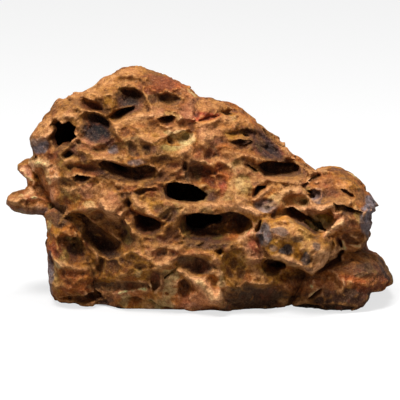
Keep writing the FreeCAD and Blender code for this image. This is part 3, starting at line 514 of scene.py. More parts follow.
# ---------------------------------------------------------------------------
# Hollows of the front: outline, depth, taper, tilt (right, up per mm of depth)
# ---------------------------------------------------------------------------
HOLLOWS = [
    # wide shallow ones first
    ([(62, 222), (75, 212), (100, 208), (125, 217), (133, 230), (135, 243), (130, 253), (118, 257), (105, 259), (97, 250), (88, 240), (78, 228)], 15, 0.5, (0.1, 0.2)),
    ([(125, 203), (140, 210), (158, 216), (166, 222), (162, 232), (150, 237), (140, 237), (131, 226), (124, 214)], 9, 0.5, (0, 0.2)),
    ([(84, 112), (94, 112), (106, 117), (113, 123), (117, 131), (120, 141), (110, 146), (98, 143), (88, 133), (82, 122)], 12, 0.5, (0, 0.2)),
    ([(186, 164), (200, 160), (212, 168), (216, 182), (214, 196), (204, 200), (192, 192), (184, 178)], 8, 0.7, (0, 0.1)),
    ([(216, 166), (226, 164), (234, 172), (232, 184), (222, 190), (214, 184), (212, 174)], 4, 0.6, (0, 0.1)),
    ([(247, 130), (258, 131), (271, 139), (284, 150), (286, 156), (276, 159), (264, 153), (254, 143)], 7, 0.5, (0, 0.15)),
    ([(219, 250), (232, 246), (243, 248), (247, 262), (247, 274), (243, 283), (234, 286), (226, 277), (220, 264)], 6, 0.5, (0, 0.1)),
    ([(166, 262), (180, 255), (195, 255), (208, 261), (215, 270), (206, 277), (192, 274), (178, 268)], 5, 0.5, (0, 0.2)),
    ([(90, 282), (104, 277), (125, 281), (149, 281), (152, 287), (130, 290), (110, 294), (94, 290)], 7, 0.4, (0, 0.3)),
    ([(218, 286), (236, 284), (262, 282), (284, 284), (288, 296), (276, 306), (258, 312), (232, 308), (222, 298)], 5, 0.5, (0, 0.1)),
    ([(283, 197), (290, 193), (303, 193), (310, 199), (309, 207), (298, 210), (285, 208), (281, 202)], 5.5, 0.6, (0, 0.2)),
    ([(252, 200), (262, 198), (273, 200), (275, 207), (266, 213), (254, 211)], 4, 0.6, (0, 0.1)),
    ([(281, 185), (290, 183), (304, 185), (302, 190), (290, 191), (282, 190)], 3, 0.4, (0, 0.2)),
    ([(303, 211), (318, 212), (329, 209), (334, 216), (331, 226), (322, 229), (310, 221)], 7, 0.4, (0, 0.2)),
    ([(57, 238), (66, 232), (78, 236), (86, 243), (90, 252), (88, 261), (78, 265), (67, 262), (60, 252)], 12, 0.45, (0, 0.2)),
    ([(340, 232), (352, 227), (363, 231), (364, 240), (356, 246), (344, 246), (339, 240)], 7, 0.5, (0, 0.2)),
    ([(258, 260), (268, 257), (284, 262), (300, 268), (308, 276), (298, 284), (280, 282), (266, 278)], 9, 0.5, (0, 0.25)),
    ([(44, 166), (48, 176), (44, 188), (38, 190), (36, 178), (40, 168)], 4, 0.5, (0, 0)),
    ([(126, 141), (138, 138), (150, 143), (152, 154), (142, 160), (130, 156)], 5, 0.7, (0, 0.1)),
    ([(66, 166), (80, 163), (94, 166), (98, 174), (84, 174), (70, 174)], 4, 0.6, (0, 0.1)),
    ([(286, 216), (272, 226), (278, 236), (290, 232)], 2, 0.5, (0, 0)),
    # deep ones
    ([(181, 214), (186, 211), (200, 212), (215, 214), (231, 211), (244, 214), (251, 219), (253, 227), (248, 234), (240, 239),
      (228, 241), (215, 243), (203, 243), (191, 240), (184, 234), (180, 226)], 22, 0.20, (0.02, 0.22)),
    ([(184, 216), (194, 213), (206, 216), (217, 214), (226, 219), (222, 227), (213, 230), (205, 236), (193, 236), (184, 228)], 52, 0.08, (0.02, 0.16)),
    ([(163, 189), (167, 184), (176, 183), (188, 185), (198, 189), (206, 197), (201, 204), (190, 206), (177, 205), (166, 200)], 44, 0.10, (0.05, 0.18)),
    ([(97, 163), (104, 160), (112, 162), (122, 165), (135, 168), (146, 165), (156, 166), (159, 172), (155, 179), (146, 182), (136, 184), (124, 182), (114, 177), (103, 171)], 17, 0.25, (0, 0.3)),
    ([(102, 163), (112, 163), (124, 168), (132, 173), (128, 179), (117, 177), (106, 170)], 42, 0.12, (0.05, 0.2)),
    ([(73, 178), (78, 175), (88, 177), (93, 179), (88, 184), (80, 186), (75, 183)], 15, 0.15, (0, 0.3)),
    ([(51, 127), (57, 122), (63, 126), (70, 122), (78, 128), (76, 134), (79, 138), (73, 142), (70, 148), (63, 145), (57, 149), (53, 142), (48, 140), (53, 133)], 34, 0.08, (0.2, 0.08)),
    ([(70, 100), (76, 98), (84, 98), (93, 101), (100, 105), (104, 110), (103, 116), (92, 113), (80, 109), (72, 106)], 11, 0.3, (0.1, 0.0)),
    ([(86, 115), (94, 114), (104, 118), (111, 124), (113, 131), (110, 138), (101, 137), (92, 129), (87, 121)], 17, 0.3, (0.1, 0.25)),
    ([(116, 92), (122, 88), (136, 88), (143, 93), (147, 99), (144, 105), (136, 108), (124, 109), (117, 103)], 14, 0.4, (0, 0.12)),
    ([(107, 117), (114, 111), (124, 109), (137, 108), (136, 114), (128, 119), (119, 125), (111, 122)], 17, 0.25, (0.1, 0.15)),
    ([(158, 97), (165, 94), (177, 97), (183, 101), (178, 106), (168, 108), (160, 104)], 6, 0.4, (0, 0.2)),
    ([(155, 119), (162, 117), (172, 117), (178, 120), (174, 126), (166, 128), (159, 125)], 16, 0.25, (0, 0.25)),
    ([(165, 138), (170, 134), (179, 132), (189, 132), (194, 137), (192, 145), (184, 150), (173, 151), (166, 146)], 9, 0.75, (0, 0.15)),
    ([(166, 139), (172, 136), (182, 135), (180, 140), (170, 144)], 11, 0.4, (-0.1, 0.3)),
    ([(190, 122), (200, 119), (214, 116), (224, 117), (215, 121), (200, 124)], 4, 0.5, (0, 0.1)),
    ([(192, 108), (197, 110), (200, 118), (196, 122), (192, 116)], 4, 0.4, (0, 0)),
    ([(221, 113), (228, 109), (237, 110), (239, 115), (232, 118), (225, 118)], 11, 0.3, (0, -0.05)),
    ([(225, 136), (232, 132), (245, 130), (253, 134), (252, 140), (244, 140), (232, 140)], 7, 0.4, (0, 0.3)),
    ([(231, 143), (240, 140), (252, 142), (252, 147), (246, 151), (238, 151)], 18, 0.2, (0, 0.3)),
    ([(253, 163), (262, 160), (278, 162), (292, 161), (300, 166), (299, 175), (291, 179), (275, 180), (263, 178), (257, 171)], 20, 0.15, (0, 0.2)),
    ([(284, 160), (296, 159), (305, 163), (312, 169), (304, 175), (292, 178), (284, 172)], 9, 0.35, (0, 0.1)),
    ([(241, 164), (247, 164), (256, 170), (260, 175), (254, 174), (246, 169)], 9, 0.2, (0, 0.3)),
    ([(251, 190), (256, 185), (267, 186), (265, 191), (259, 194), (254, 201), (250, 198)], 18, 0.2, (0.1, 0.25)),
    ([(306, 193), (312, 189), (320, 192), (320, 198), (313, 201), (308, 199)], 8, 0.35, (0, 0.2)),
    ([(283, 209), (292, 208), (304, 215), (314, 221), (326, 227), (324, 234), (314, 235), (304, 231), (294, 224), (286, 217)], 24, 0.12, (0.05, 0.25)),
    ([(336, 189), (344, 189), (355, 197), (350, 200), (341, 194)], 7, 0.25, (0, 0.25)),
    ([(330, 201), (336, 205), (342, 205), (353, 209), (363, 212), (361, 219), (350, 217), (342, 211), (334, 213)], 13, 0.25, (0, 0.35)),
    ([(133, 219), (141, 215), (152, 217), (161, 222), (160, 230), (152, 235), (143, 236), (136, 230)], 27, 0.12, (0.1, 0.18)),
    ([(123, 203), (129, 198), (133, 204), (131, 211), (126, 214)], 12, 0.3, (0, 0.1)),
    ([(72, 214), (84, 216), (98, 226), (112, 236), (124, 246), (122, 256), (110, 260), (99, 257), (88, 246), (77, 230)], 27, 0.16, (0.12, 0.15)),
    ([(98, 254), (107, 257), (106, 268), (102, 277), (97, 268)], 9, 0.3, (0, 0)),
    ([(85, 243), (90, 243), (92, 256), (88, 260), (85, 252)], 5, 0.2, (0, 0)),
    ([(67, 245), (74, 241), (80, 246), (77, 254), (69, 253)], 18, 0.25, (0, 0.15)),
    ([(260, 266), (266, 261), (279, 261), (287, 266), (285, 273), (274, 276), (264, 274)], 26, 0.1, (0, 0.22)),
    ([(313, 271), (322, 265), (330, 260), (338, 256), (339, 263), (329, 269), (319, 274)], 15, 0.2, (0, 0.3)),
    ([(335, 236), (341, 238), (342, 252), (338, 257), (334, 250)], 11, 0.2, (0, 0)),
    ([(350, 234), (358, 232), (362, 238), (356, 242)], 12, 0.3, (0, 0.2)),
    ([(176, 281), (184, 277), (192, 282), (196, 291), (192, 298), (183, 297), (177, 290)], 9, 0.4, (0, 0.2)),
    ([(152, 268), (160, 270), (161, 284), (155, 292), (151, 280)], 7, 0.3, (0, 0)),
    ([(58, 299), (70, 296), (84, 295), (92, 292), (103, 294), (105, 301), (92, 303), (76, 303)], 14, 0.2, (0, 0.4)),
    ([(100, 288), (112, 288), (112, 292), (100, 292)], 8, 0.2, (0, 0.3)),
    ([(240, 283), (247, 280), (252, 286), (247, 292), (241, 290)], 6, 0.3, (0, 0.1)),
    ([(225, 291), (238, 292), (236, 297), (226, 296)], 5, 0.3, (0, 0.1)),
    ([(259, 218), (263, 220), (259, 230), (254, 236), (254, 228)], 12, 0.2, (0, 0.1)),
    ([(214, 251), (222, 247), (225, 252), (220, 257)], 7, 0.3, (0, 0.1)),
    ([(183, 160), (188, 162), (189, 172), (184, 172), (182, 166)], 9, 0.2, (0, 0.1)),
    ([(134, 194), (142, 189), (152, 187), (158, 190), (148, 193), (140, 197)], 7, 0.3, (0, 0.2)),
    ([(31, 158), (39, 158), (39, 163), (32, 163)], 8, 0.3, (0, 0.1)),
    ([(63, 157), (69, 149), (77, 153), (72, 159), (66, 162)], 11, 0.3, (0, 0.2)),
    ([(304, 297), (316, 290), (324, 286), (320, 293), (310, 299)], 7, 0.2, (0, 0.2)),
    ([(282, 312), (290, 305), (304, 301), (316, 304), (330, 312), (318, 316), (296, 316)], 10, 0.3, (0, 0.3)),
    ([(320, 304), (338, 303), (354, 306), (350, 312), (330, 313)], 6, 0.3, (0, 0.2)),
    ([(374, 253), (380, 254), (390, 270), (388, 276), (381, 265), (375, 258)], 5, 0.3, (0, 0)),
    ([(164, 277), (173, 269), (181, 263), (182, 265), (174, 272), (166, 279)], 5, 0.1, (0, 0.1)),
    ([(197, 246), (208, 240), (212, 243), (202, 247)], 6, 0.3, (0, 0.3)),
    ([(220, 176), (225, 174), (226, 186), (220, 188)], 4, 0.4, (0, 0)),
    ([(310, 174), (320, 176), (322, 180), (314, 179)], 4, 0.3, (0, 0.2)),
    ([(48, 114), (54, 115), (54, 121), (49, 121)], 4, 0.3, (0, 0)),
    ([(280, 240), (288, 239), (292, 246), (286, 250), (280, 247)], 2.5, 0.3, (0, 0)),
    ([(304, 254), (311, 255), (312, 262), (306, 262)], 2.5, 0.3, (0, 0)),
]
for pts, depth, taper, tilt in HOLLOWS:
    if depth >= 5:
        low = sorted(pts, key=lambda q: -q[1])[: max(3, len(pts) // 2)]
        tent(pts, 2.6, 0.9, closed=True)
F -= CREST[:, :, None] * facing
TOP = front_depth(F)
clock("crests")
for row in [r for r in HOLLOWS if r[1] < 30]:
    patch_work(*row)
BLIND = F.copy()
for row in [r for r in HOLLOWS if r[1] >= 30]:
    patch_work(*row)
clock("hollows")

front = lambda pos, nrm: nrm[:, 2] > 0.35
scatter(13, 200, front, 2.4, 4.5, 0.34)
scatter(14, 1500, lambda pos, nrm: nrm[:, 1] > -0.9, 1.3, 2.8, 0.36)
clock("small scallops")
F += f32(0.55) * n7 * 0.8 + f32(0.45) * n3
F += f32(0.22) * noise(1.7, 5)
clock("grain")


def box_blur(a, radius, passes=2):
    """Mean over a cube, by running sums along each axis."""
    n = max(1, int(round(radius / VOX)))
    for _ in range(passes):
        for ax in range(3):
            pad = [(0, 0)] * 3
            pad[ax] = (n + 1, n)
            c = np.cumsum(np.pad(a, pad, mode="edge"), axis=ax, dtype=f32)
            hi = [slice(None)] * 3; lo = [slice(None)] * 3
            hi[ax] = slice(2 * n + 1, None); lo[ax] = slice(0, -(2 * n + 1))
            a = ((c[tuple(hi)] - c[tuple(lo)]) / f32(2 * n + 1)).astype(f32)
    return a


# the castings meet in the bottom of natural looking creases
others = {n: fields[n] for n in fields if n != "rock"}
wob = (0.9 * n15 + 0.5 * n7).astype(f32)
min_other = np.minimum.reduce(list(others.values()))
rock_region = np.minimum(fields["rock"] + wob, (fields["rock"] - min_other) * 0.5 + wob).astype(f32)
crease = np.clip(1 - np.abs(rock_region) / 4.0, 0, 1) * (min_other < 3)
F += f32(2.4) * crease
for a, b in (("shoulder", "boulder"), ("shoulder", "slab"), ("boulder", "slab"), ("block", "spur")):
    near = np.clip(1 - np.abs(others[a] - others[b]) / 6.0, 0, 1) * (others[a] < 4) * (others[b] < 4)
    F += f32(1.6) * near
# the cave: everything more than a wall's thickness under the carved surface
WALL = 10.0
INNER = (BLIND + f32(WALL)).astype(f32)
INNER = smax(INNER, (fields["rock"] + f32(WALL - 1.0)), 3.0)
INNER = smax(INNER, (ZZ - 163)[None], 6.0)
INNER += f32(1.2) * n15 + f32(0.5) * n7
for x, z, y, a, b, c, turn in REAR_HOLES:
    t = math.radians(turn)
    dx, dz, dy = XX[:, None, None] - x + 1.5 * DU, (ZZ - z)[None] + 1.5 * DV, (YY - y)[None]
    q = np.sqrt(((dx * math.cos(t) + dz * math.sin(t)) / a) ** 2 + ((-dx * math.sin(t) + dz * math.cos(t)) / b) ** 2 + (dy / c) ** 2)
    F = smax(F, -((q - 1) * min(a, b, c)), 1.5).astype(f32)
# the dowels that locate the castings stay covered by resin, outside and in the cave
DOWELS = [  # middle of each, along which axis, reach either way
    (-80.7, 22.5, 20, 1), (77.3, 22.5, 20, 1), (-112, 22.5, 138, 1), (91.3, 22.5, 79, 1), (-47, 22.5, 169, 1),
    (87.5, -3.5, 24, 0), (84.5, 32, 24, 0), (98.5, 2.5, 80, 0), (97.5, -9.5, 56, 0), (-92.5, -13.5, 30, 0),
    (-99.5, 10.5, 50, 0), (-121.5, 2.5, 79, 0), (58, -60, 48, 1), (74, -52.5, 48, 1),
]
SHELL = smax(F, -INNER, 1.0)
for x, y, z, along in DOWELS:
    su = span(U1, x - 22, x + 22)
    dx, dy, dz = (XX[su] - x)[:, None, None], (YY - y)[None], (ZZ - z)[None]
    if along == 0:
        dx = np.maximum(np.abs(dx) - 9, 0)
    else:
        dy = np.maximum(np.abs(dy) - 9, 0)
    rod = np.sqrt(dx * dx + dy * dy + dz * dz) - (3.8 + 0.8 * n7[su])
    F[su] = smin(F[su], rod, 2.5)
    SHELL[su] = smin(SHELL[su], rod, 2.5)
clock("cave")

GROUND = (1.5 - ZZ)[None]
solid = np.clip(-F / (2 * VOX) + 0.5, 0, 1).astype(f32)
OCC_BIG = box_blur(solid, 5.0)
OCC_SMALL = box_blur(solid, 1.9)
clock("hollowness")

# ---------------------------------------------------------------------------
# Pieces: the same bonded castings as the design
# ---------------------------------------------------------------------------
REGION = {"rock": rock_region}
for n in others:
    rest = np.minimum.reduce([others[m] for m in others if m != n])
    REGION[n] = np.maximum(-rock_region, (others[n] - rest) * 0.5 + wob * 0.5)
clock("regions")


def surface_net(field):
    """Closed quad mesh of field < 0, one vertex per mixed cell, in block indices."""
    s = field < 0
    cnt = np.zeros([n - 1 for n in field.shape], np.uint8)
    corners = [(i, j, k) for i in (0, 1) for j in (0, 1) for k in (0, 1)]
    for i, j, k in corners:
        cnt += s[i:s.shape[0] - 1 + i, j:s.shape[1] - 1 + j, k:s.shape[2] - 1 + k]
    mixed = (cnt > 0) & (cnt < 8)
    idx = np.argwhere(mixed).astype(np.int32)
    vid = np.full(mixed.shape, -1, np.int32)
    vid[mixed] = np.arange(len(idx), dtype=np.int32)
    vals = [field[idx[:, 0] + i, idx[:, 1] + j, idx[:, 2] + k] for i, j, k in corners]
    acc = np.zeros((len(idx), 3), f32); num = np.zeros(len(idx), f32)
    for a in range(8):
        for b in range(a + 1, 8):
            ca, cb = np.array(corners[a]), np.array(corners[b])
            if np.abs(ca - cb).sum() != 1:
                continue
            va, vb = vals[a], vals[b]
            m = (va < 0) != (vb < 0)
            t = np.where(m, va / np.where(m, va - vb, 1), 0)
            for ax in range(3):
                acc[:, ax] += np.where(m, ca[ax] + t * (cb[ax] - ca[ax]), 0)
            num += m
    pos = idx + acc / num[:, None]
    quads = []
    for ax in range(3):
        b, c = (ax + 1) % 3, (ax + 2) % 3
        lo = [slice(None)] * 3; hi = [slice(None)] * 3
        lo[ax] = slice(0, -1); hi[ax] = slice(1, None)
        for q in (lo, hi):
            q[b] = slice(1, -1); q[c] = slice(1, -1)
        A, B = s[tuple(lo)], s[tuple(hi)]
        for flip, where in ((False, A & ~B), (True, B & ~A)):
            e = np.argwhere(where)
            base = e.copy()
            base[:, b] += 1; base[:, c] += 1
            def cell(db, dc):
                q = base.copy(); q[:, b] += db; q[:, c] += dc
                return vid[q[:, 0], q[:, 1], q[:, 2]]
            quad = np.stack([cell(-1, -1), cell(0, -1), cell(0, 0), cell(-1, 0)], 1)
            quads.append(quad[:, ::-1] if flip else quad)
    return pos, np.concatenate(quads)


def largest_part(pos, quads):
    """Drops every loose crumb, keeping the one connected surface with most corners."""
    lab = np.arange(len(pos))
    e = np.concatenate([quads[:, [0, 1]], quads[:, [1, 2]], quads[:, [2, 3]]])
    a, b = e[:, 0], e[:, 1]
    while True:
        la, lb = lab[a], lab[b]
        m = np.minimum(la, lb)
        if (la == lb).all():
            break
        np.minimum.at(lab, la, m); np.minimum.at(lab, lb, m)
        for _ in range(6):
            lab = lab[lab]
    ids, inv, counts = np.unique(lab, return_inverse=True, return_counts=True)
    keep = inv == counts.argmax()
    remap = np.cumsum(keep) - 1
    q = quads[keep[quads[:, 0]]]
    return pos[keep], remap[q], counts.sum() - counts.max()


def trilinear(field, p):
    i = np.clip(np.floor(p).astype(int), 0, np.array(field.shape) - 2)
    f = np.clip(p - i, 0, 1)
    out = 0
    for a in (0, 1):
        for b in (0, 1):
            for c in (0, 1):
                w = (f[:, 0] if a else 1 - f[:, 0]) * (f[:, 1] if b else 1 - f[:, 1]) * (f[:, 2] if c else 1 - f[:, 2])
                out = out + w * field[i[:, 0] + a, i[:, 1] + b, i[:, 2] + c]
    return out.astype(f32)


def pin(ip, fa, fb):
    """Moves points that lie near both fa = 0 and fb = 0 onto the line where the two meet, so that joints stay crisp."""
    near = np.where((np.abs(trilinear(fa, ip)) < 0.8 * VOX) & (np.abs(trilinear(fb, ip)) < 0.8 * VOX))[0]
    if len(near) == 0:
        return ip
    p = ip[near].copy(); start = p.copy()
    for _ in range(4):
        for f in (fa, fb):
            val = trilinear(f, p)
            g = np.stack([trilinear(f, p + 0.5 * e) - trilinear(f, p - 0.5 * e) for e in np.eye(3, dtype=f32)], 1)
            p = p - g * (val / np.maximum((g * g).sum(1), 0.05 * VOX * VOX))[:, None]
    move = p - start
    far = np.linalg.norm(move, axis=1, keepdims=True)
    p = start + move * np.minimum(1, 1.2 / np.maximum(far, 1e-6))
    ip = ip.copy(); ip[near] = p
    return ip


# ---------------------------------------------------------------------------
# Colour of the casting's paint, with painted light and shade, worked out per vertex
# ---------------------------------------------------------------------------
def srgb(r, g, b):
    c = np.array([r, g, b], float) / 255
    return np.where(c <= 0.04045, c / 12.92, ((c + 0.055) / 1.055) ** 2.4)


TAN = srgb(204, 144, 84)
PINK = srgb(178, 120, 88)
ORANGE = srgb(184, 110, 48)
OCHRE = srgb(176, 122, 44)
YELLOW = srgb(226, 196, 112)
RUST = srgb(138, 66, 34)
RED = srgb(150, 60, 44)
BROWN = srgb(104, 64, 34)
DARK = srgb(56, 38, 28)
GREY = srgb(122, 116, 122)
SLATE = srgb(104, 100, 104)
DRAB = srgb(90, 72, 54)
OLIVE = srgb(140, 116, 46)
BLACK = srgb(22, 17, 13)
BASECOAT = srgb(146, 90, 46)

SHADE_PATCHES = [  # painted shade: black patches in the creases and hollows
    ((98, 238), (29, 10), 47, 0.8), ((110, 250), (10, 7), 20, 0.7), ((272, 269), (11, 7), -20, 0.7), ((203, 226), (24, 13), -2, 0.6),
    ((62, 134), (12, 9), -20, 0.6), ((100, 126), (14, 7), 46, 0.8), ((148, 228), (12, 8), 0, 0.6), ((125, 98), (11, 8), 10, 0.6),
    ((125, 114), (10, 5), -20, 0.6), ((124, 172), (28, 8), 4, 0.6), ((279, 170), (26, 8), 0, 0.5), ((303, 222), (20, 5), 34, 0.8),
    ((84, 104), (14, 6), 18, 0.4), ((272, 150), (13, 6), 44, 0.4), ((349, 212), (14, 4), 18, 0.7), ((72, 248), (9, 8), 20, 0.7),
    ((96, 297), (12, 5), 20, 0.7), ((329, 307), (20, 6), 2, 0.6), ((303, 308), (14, 5), -3, 0.7), ((329, 264), (12, 4), -24, 0.7),
    ((181, 195), (16, 9), 8, 0.6), ((67, 156), (9, 4), -42, 0.7), ((340, 246), (3, 9), 0, 0.6), ((96, 268), (4, 9), 0, 0.5),
    ((258, 192), (7, 6), -30, 0.5), ((239, 145), (10, 5), 15, 0.5), ((81, 180), (9, 4), -6, 0.6), ((66, 219), (9, 5), 0, 0.4),
    ((85, 250), (4, 9), 0, 0.5), ((352, 238), (11, 6), 0, 0.5), ((247, 285), (5, 4), 0, 0.4), ((157, 280), (4, 9), 0, 0.4),
    ((185, 287), (7, 8), 0, 0.35), ((205, 266), (10, 6), 10, 0.3), ((128, 206), (4, 8), 0, 0.5),
]
LIGHT_AND_SHADE_GAINS = [  # painted light and shade: whole areas made lighter or darker by a gain on the brightness: x, y, half axes, turn, gain
    (175, 292, 65, 16, 0, 1.8), (110, 289, 40, 10, 0, 1.75), (240, 228, 16, 10, 0, 2.4), (350, 240, 14, 9, 0, 2.6),
    (345, 265, 30, 22, 0, 1.6), (305, 286, 26, 9, 0, 3.4), (340, 285, 16, 8, 0, 1.4), (40, 182, 20, 24, 0, 2.7),
    (45, 140, 14, 18, 0, 1.2), (100, 137, 20, 10, 30, 0.25), (190, 196, 28, 9, 8, 0.36), (167, 212, 16, 8, 30, 0.38),
    (205, 240, 26, 7, 0, 0.4), (92, 230, 20, 8, 40, 1.25), (66, 255, 14, 10, 0, 0.55), (264, 146, 32, 12, 42, 0.32),
    (68, 151, 12, 8, 0, 0.45), (160, 152, 20, 7, 0, 0.65), (130, 104, 13, 9, 0, 0.35), (325, 182, 26, 9, 0, 1.8),
    (300, 212, 26, 7, 10, 1.6), (245, 211, 24, 5, 0, 1.35), (190, 91, 20, 8, 30, 1.45), (120, 76, 24, 8, -15, 1.35),
    (180, 120, 30, 14, 0, 1.25), (315, 226, 14, 8, 30, 1.35), (130, 240, 10, 10, 0, 0.48), (210, 268, 20, 10, 0, 1.2),
    (330, 222, 16, 9, 0, 1.8), (288, 240, 30, 16, 15, 1.15), (218, 226, 18, 7, 0, 2.8), (320, 210, 14, 7, 0, 1.25),
    (290, 270, 28, 7, 0, 1.25), (350, 255, 14, 7, 0, 1.2), (96, 133, 18, 8, 0, 0.6), (280, 182, 24, 8, 0, 0.75), (150, 180, 30, 8, 0, 0.8), (192, 210, 13, 7, 0, 0.7),
    (370, 270, 14, 9, 0, 0.55), (240, 285, 16, 8, 0, 0.65), (50, 196, 12, 7, 0, 1.25), (272, 133, 12, 8, 0, 0.55),
    (72, 105, 12, 8, 0, 0.7), (100, 134, 26, 12, 20, 0.65), (168, 193, 12, 8, 0, 0.7), (208, 242, 16, 6, 0, 0.65),
    (150, 241, 12, 6, 0, 0.7), (232, 136, 14, 8, 0, 0.75), (260, 150, 18, 8, 0, 0.72), (130, 224, 10, 8, 0, 0.7),
    (330, 240, 10, 8, 0, 0.75), (358, 268, 16, 8, 0, 0.76), (320, 302, 18, 7, 0, 0.76), (168, 152, 14, 7, 0, 0.72),
    (84, 152, 16, 7, 0, 0.75), (292, 286, 10, 7, 0, 1.4), (150, 285, 14, 8, 0, 1.35), (50, 270, 10, 14, 0, 1.25),
    (290, 214, 16, 7, 0, 1.25), (290, 268, 16, 6, 0, 1.2), (352, 226, 10, 8, 0, 1.3), (70, 300, 10, 5, 0, 1.2),
    (318, 268, 12, 6, 0, 1.2), (170, 210, 12, 8, 0, 0.75), (210, 196, 9, 7, 0, 0.75),
]
PAINT = [  # colour patches; the black and dark ones in the hollows and along the foot are painted shade, the tan strip on the bottom ledge is a painted highlight, the grey strips along the left and right edges are painted reflection, and the yellow on the right wall of the yellow-rimmed pit is yellow paint and partly painted highlight: centre, half axes, turn, colour, strength
    ((158, 84), (22, 9), 10, RUST, 0.7), ((136, 82), (14, 7), 0, BROWN, 0.5),
    ((110, 105), (7, 14), 0, OCHRE, 0.8), ((110, 142), (11, 5), 0, ORANGE, 0.9), ((86, 104), (16, 6), 15, RUST, 0.35),
    ((76, 119), (10, 6), 20, OCHRE, 0.5), ((41, 146), (9, 9), 0, GREY, 0.8), ((47, 124), (8, 8), 0, BROWN, 0.3),
    ((100, 149), (18, 4), 20, PINK, 0.6), ((115, 152), (5, 4), 0, GREY, 0.9), ((142, 146), (14, 9), 0, DRAB, 0.6),
    ((140, 162), (10, 3), 0, GREY, 0.5), ((82, 168), (18, 6), 8, RUST, 0.45), ((66, 186), (9, 12), 0, DRAB, 0.3),
    ((90, 190), (10, 8), 0, PINK, 0.8), ((112, 202), (14, 12), 40, PINK, 0.5), ((27, 172), (7, 8), 0, PINK, 0.5),
    ((24, 205), (16, 5), 5, BROWN, 0.6), ((34, 211), (14, 4), 0, GREY, 0.5), ((60, 218), (12, 7), 0, DRAB, 0.6),
    ((71, 227), (6, 7), 0, ORANGE, 0.7), ((54, 250), (6, 8), 0, RED, 0.5), ((50, 277), (4, 24), 0, GREY, 0.8),
    ((80, 280), (18, 13), 0, RUST, 0.55), ((60, 283), (7, 5), 0, OCHRE, 0.5), ((95, 262), (5, 5), 0, OCHRE, 0.7),
    ((124, 264), (22, 9), 0, BROWN, 0.5), ((120, 284), (32, 5), 0, DRAB, 0.9), ((98, 297), (14, 4), 10, BLACK, 0.6),
    ((96, 306), (14, 4), 8, OCHRE, 0.6), ((134, 294), (18, 4), 0, BROWN, 0.6), ((108, 222), (18, 8), 0, BROWN, 0.6),
    ((158, 206), (18, 7), 35, OCHRE, 0.8), ((152, 192), (6, 5), 0, RED, 0.7), ((146, 204), (10, 7), 30, OCHRE, 0.7),
    ((132, 196), (9, 6), 0, DRAB, 0.5), ((175, 170), (14, 8), 0, PINK, 0.3), ((196, 172), (10, 10), 0, DRAB, 0.6),
    ((180, 144), (16, 9), -15, OCHRE, 0.7), ((188, 140), (7, 6), -30, YELLOW, 0.85), ((178, 150), (13, 3), 0, YELLOW, 0.5), ((152, 138), (12, 6), 20, OCHRE, 0.6), ((200, 152), (14, 8), 0, RUST, 0.5),
    ((214, 176), (10, 14), 0, RUST, 0.85), ((222, 186), (5, 12), 0, RED, 0.5), ((238, 190), (12, 12), 0, OCHRE, 0.6),
    ((234, 168), (8, 7), 0, YELLOW, 0.4), ((212, 134), (12, 8), 0, PINK, 0.6), ((206, 118), (16, 4), -12, RED, 0.7),
    ((190, 114), (10, 8), 0, PINK, 0.4), ((170, 101), (11, 5), 8, DRAB, 0.7), ((146, 112), (16, 8), 0, PINK, 0.6),
    ((240, 134), (12, 4), 0, OCHRE, 0.9), ((236, 150), (18, 6), 15, ORANGE, 0.5), ((268, 146), (24, 8), 40, RUST, 0.75),
    ((250, 120), (14, 8), 20, ORANGE, 0.5), ((285, 170), (26, 8), 0, DRAB, 0.6), ((272, 170), (12, 5), 0, GREY, 0.3),
    ((306, 168), (8, 5), 0, RUST, 0.5), ((292, 187), (13, 4), 0, PINK, 0.6), ((296, 200), (13, 7), 10, ORANGE, 0.9),
    ((264, 205), (11, 6), 10, GREY, 0.7), ((240, 200), (18, 5), -15, DRAB, 0.4), ((314, 195), (7, 5), 0, GREY, 0.6),
    ((318, 219), (14, 7), 10, OLIVE, 0.9), ((324, 232), (12, 5), 0, ORANGE, 0.8), ((312, 205), (12, 4), 0, PINK, 0.6),
    ((340, 215), (8, 5), 0, PINK, 0.6), ((346, 226), (14, 9), -20, BROWN, 0.4), ((370, 214), (9, 22), 8, GREY, 0.9),
    ((300, 244), (38, 18), 12, OCHRE, 0.75), ((264, 230), (7, 9), 0, DRAB, 0.8), ((286, 246), (7, 6), 0, DRAB, 0.9),
    ((308, 256), (5, 6), 0, DRAB, 0.9), ((278, 231), (8, 4), 0, DRAB, 0.7), ((318, 244), (5, 3), 0, DRAB, 0.6),
    ((250, 250), (12, 10), 0, PINK, 0.7), ((252, 240), (6, 10), -20, RED, 0.6), ((228, 244), (10, 8), 0, BROWN, 0.5),
    ((232, 264), (13, 18), 0, OCHRE, 0.5), ((234, 270), (10, 12), 0, BROWN, 0.5), ((195, 262), (20, 9), 15, DRAB, 0.8),
    ((162, 252), (14, 10), 0, PINK, 0.5), ((185, 249), (20, 3), 5, RED, 0.5), ((206, 294), (16, 12), 40, ORANGE, 0.7),
    ((186, 287), (9, 9), 0, BROWN, 0.7), ((160, 282), (7, 9), 0, DRAB, 0.6), ((250, 298), (34, 13), 0, DRAB, 0.95),
    ((230, 294), (12, 8), 20, DRAB, 0.7), ((282, 275), (14, 8), 10, OCHRE, 0.75), ((300, 280), (12, 6), 0, DRAB, 0.8),
    ((296, 302), (18, 4), -10, TAN, 0.8), ((340, 276), (48, 24), 0, BROWN, 0.75), ((350, 256), (26, 14), 0, BROWN, 0.7),
    ((340, 300), (50, 12), 0, DARK, 0.85), ((352, 282), (16, 6), 20, RUST, 0.6), ((346, 284), (4, 3), 0, OCHRE, 0.6),
    ((384, 266), (5, 16), -25, BLACK, 0.8), ((302, 309), (22, 4), 0, BLACK, 0.9), ((362, 270), (10, 8), 0, DRAB, 0.5),
    ((372, 282), (18, 6), 0, RUST, 0.5), ((352, 238), (14, 6), 0, DARK, 0.6), ((142, 258), (10, 5), 0, OCHRE, 0.4),
]


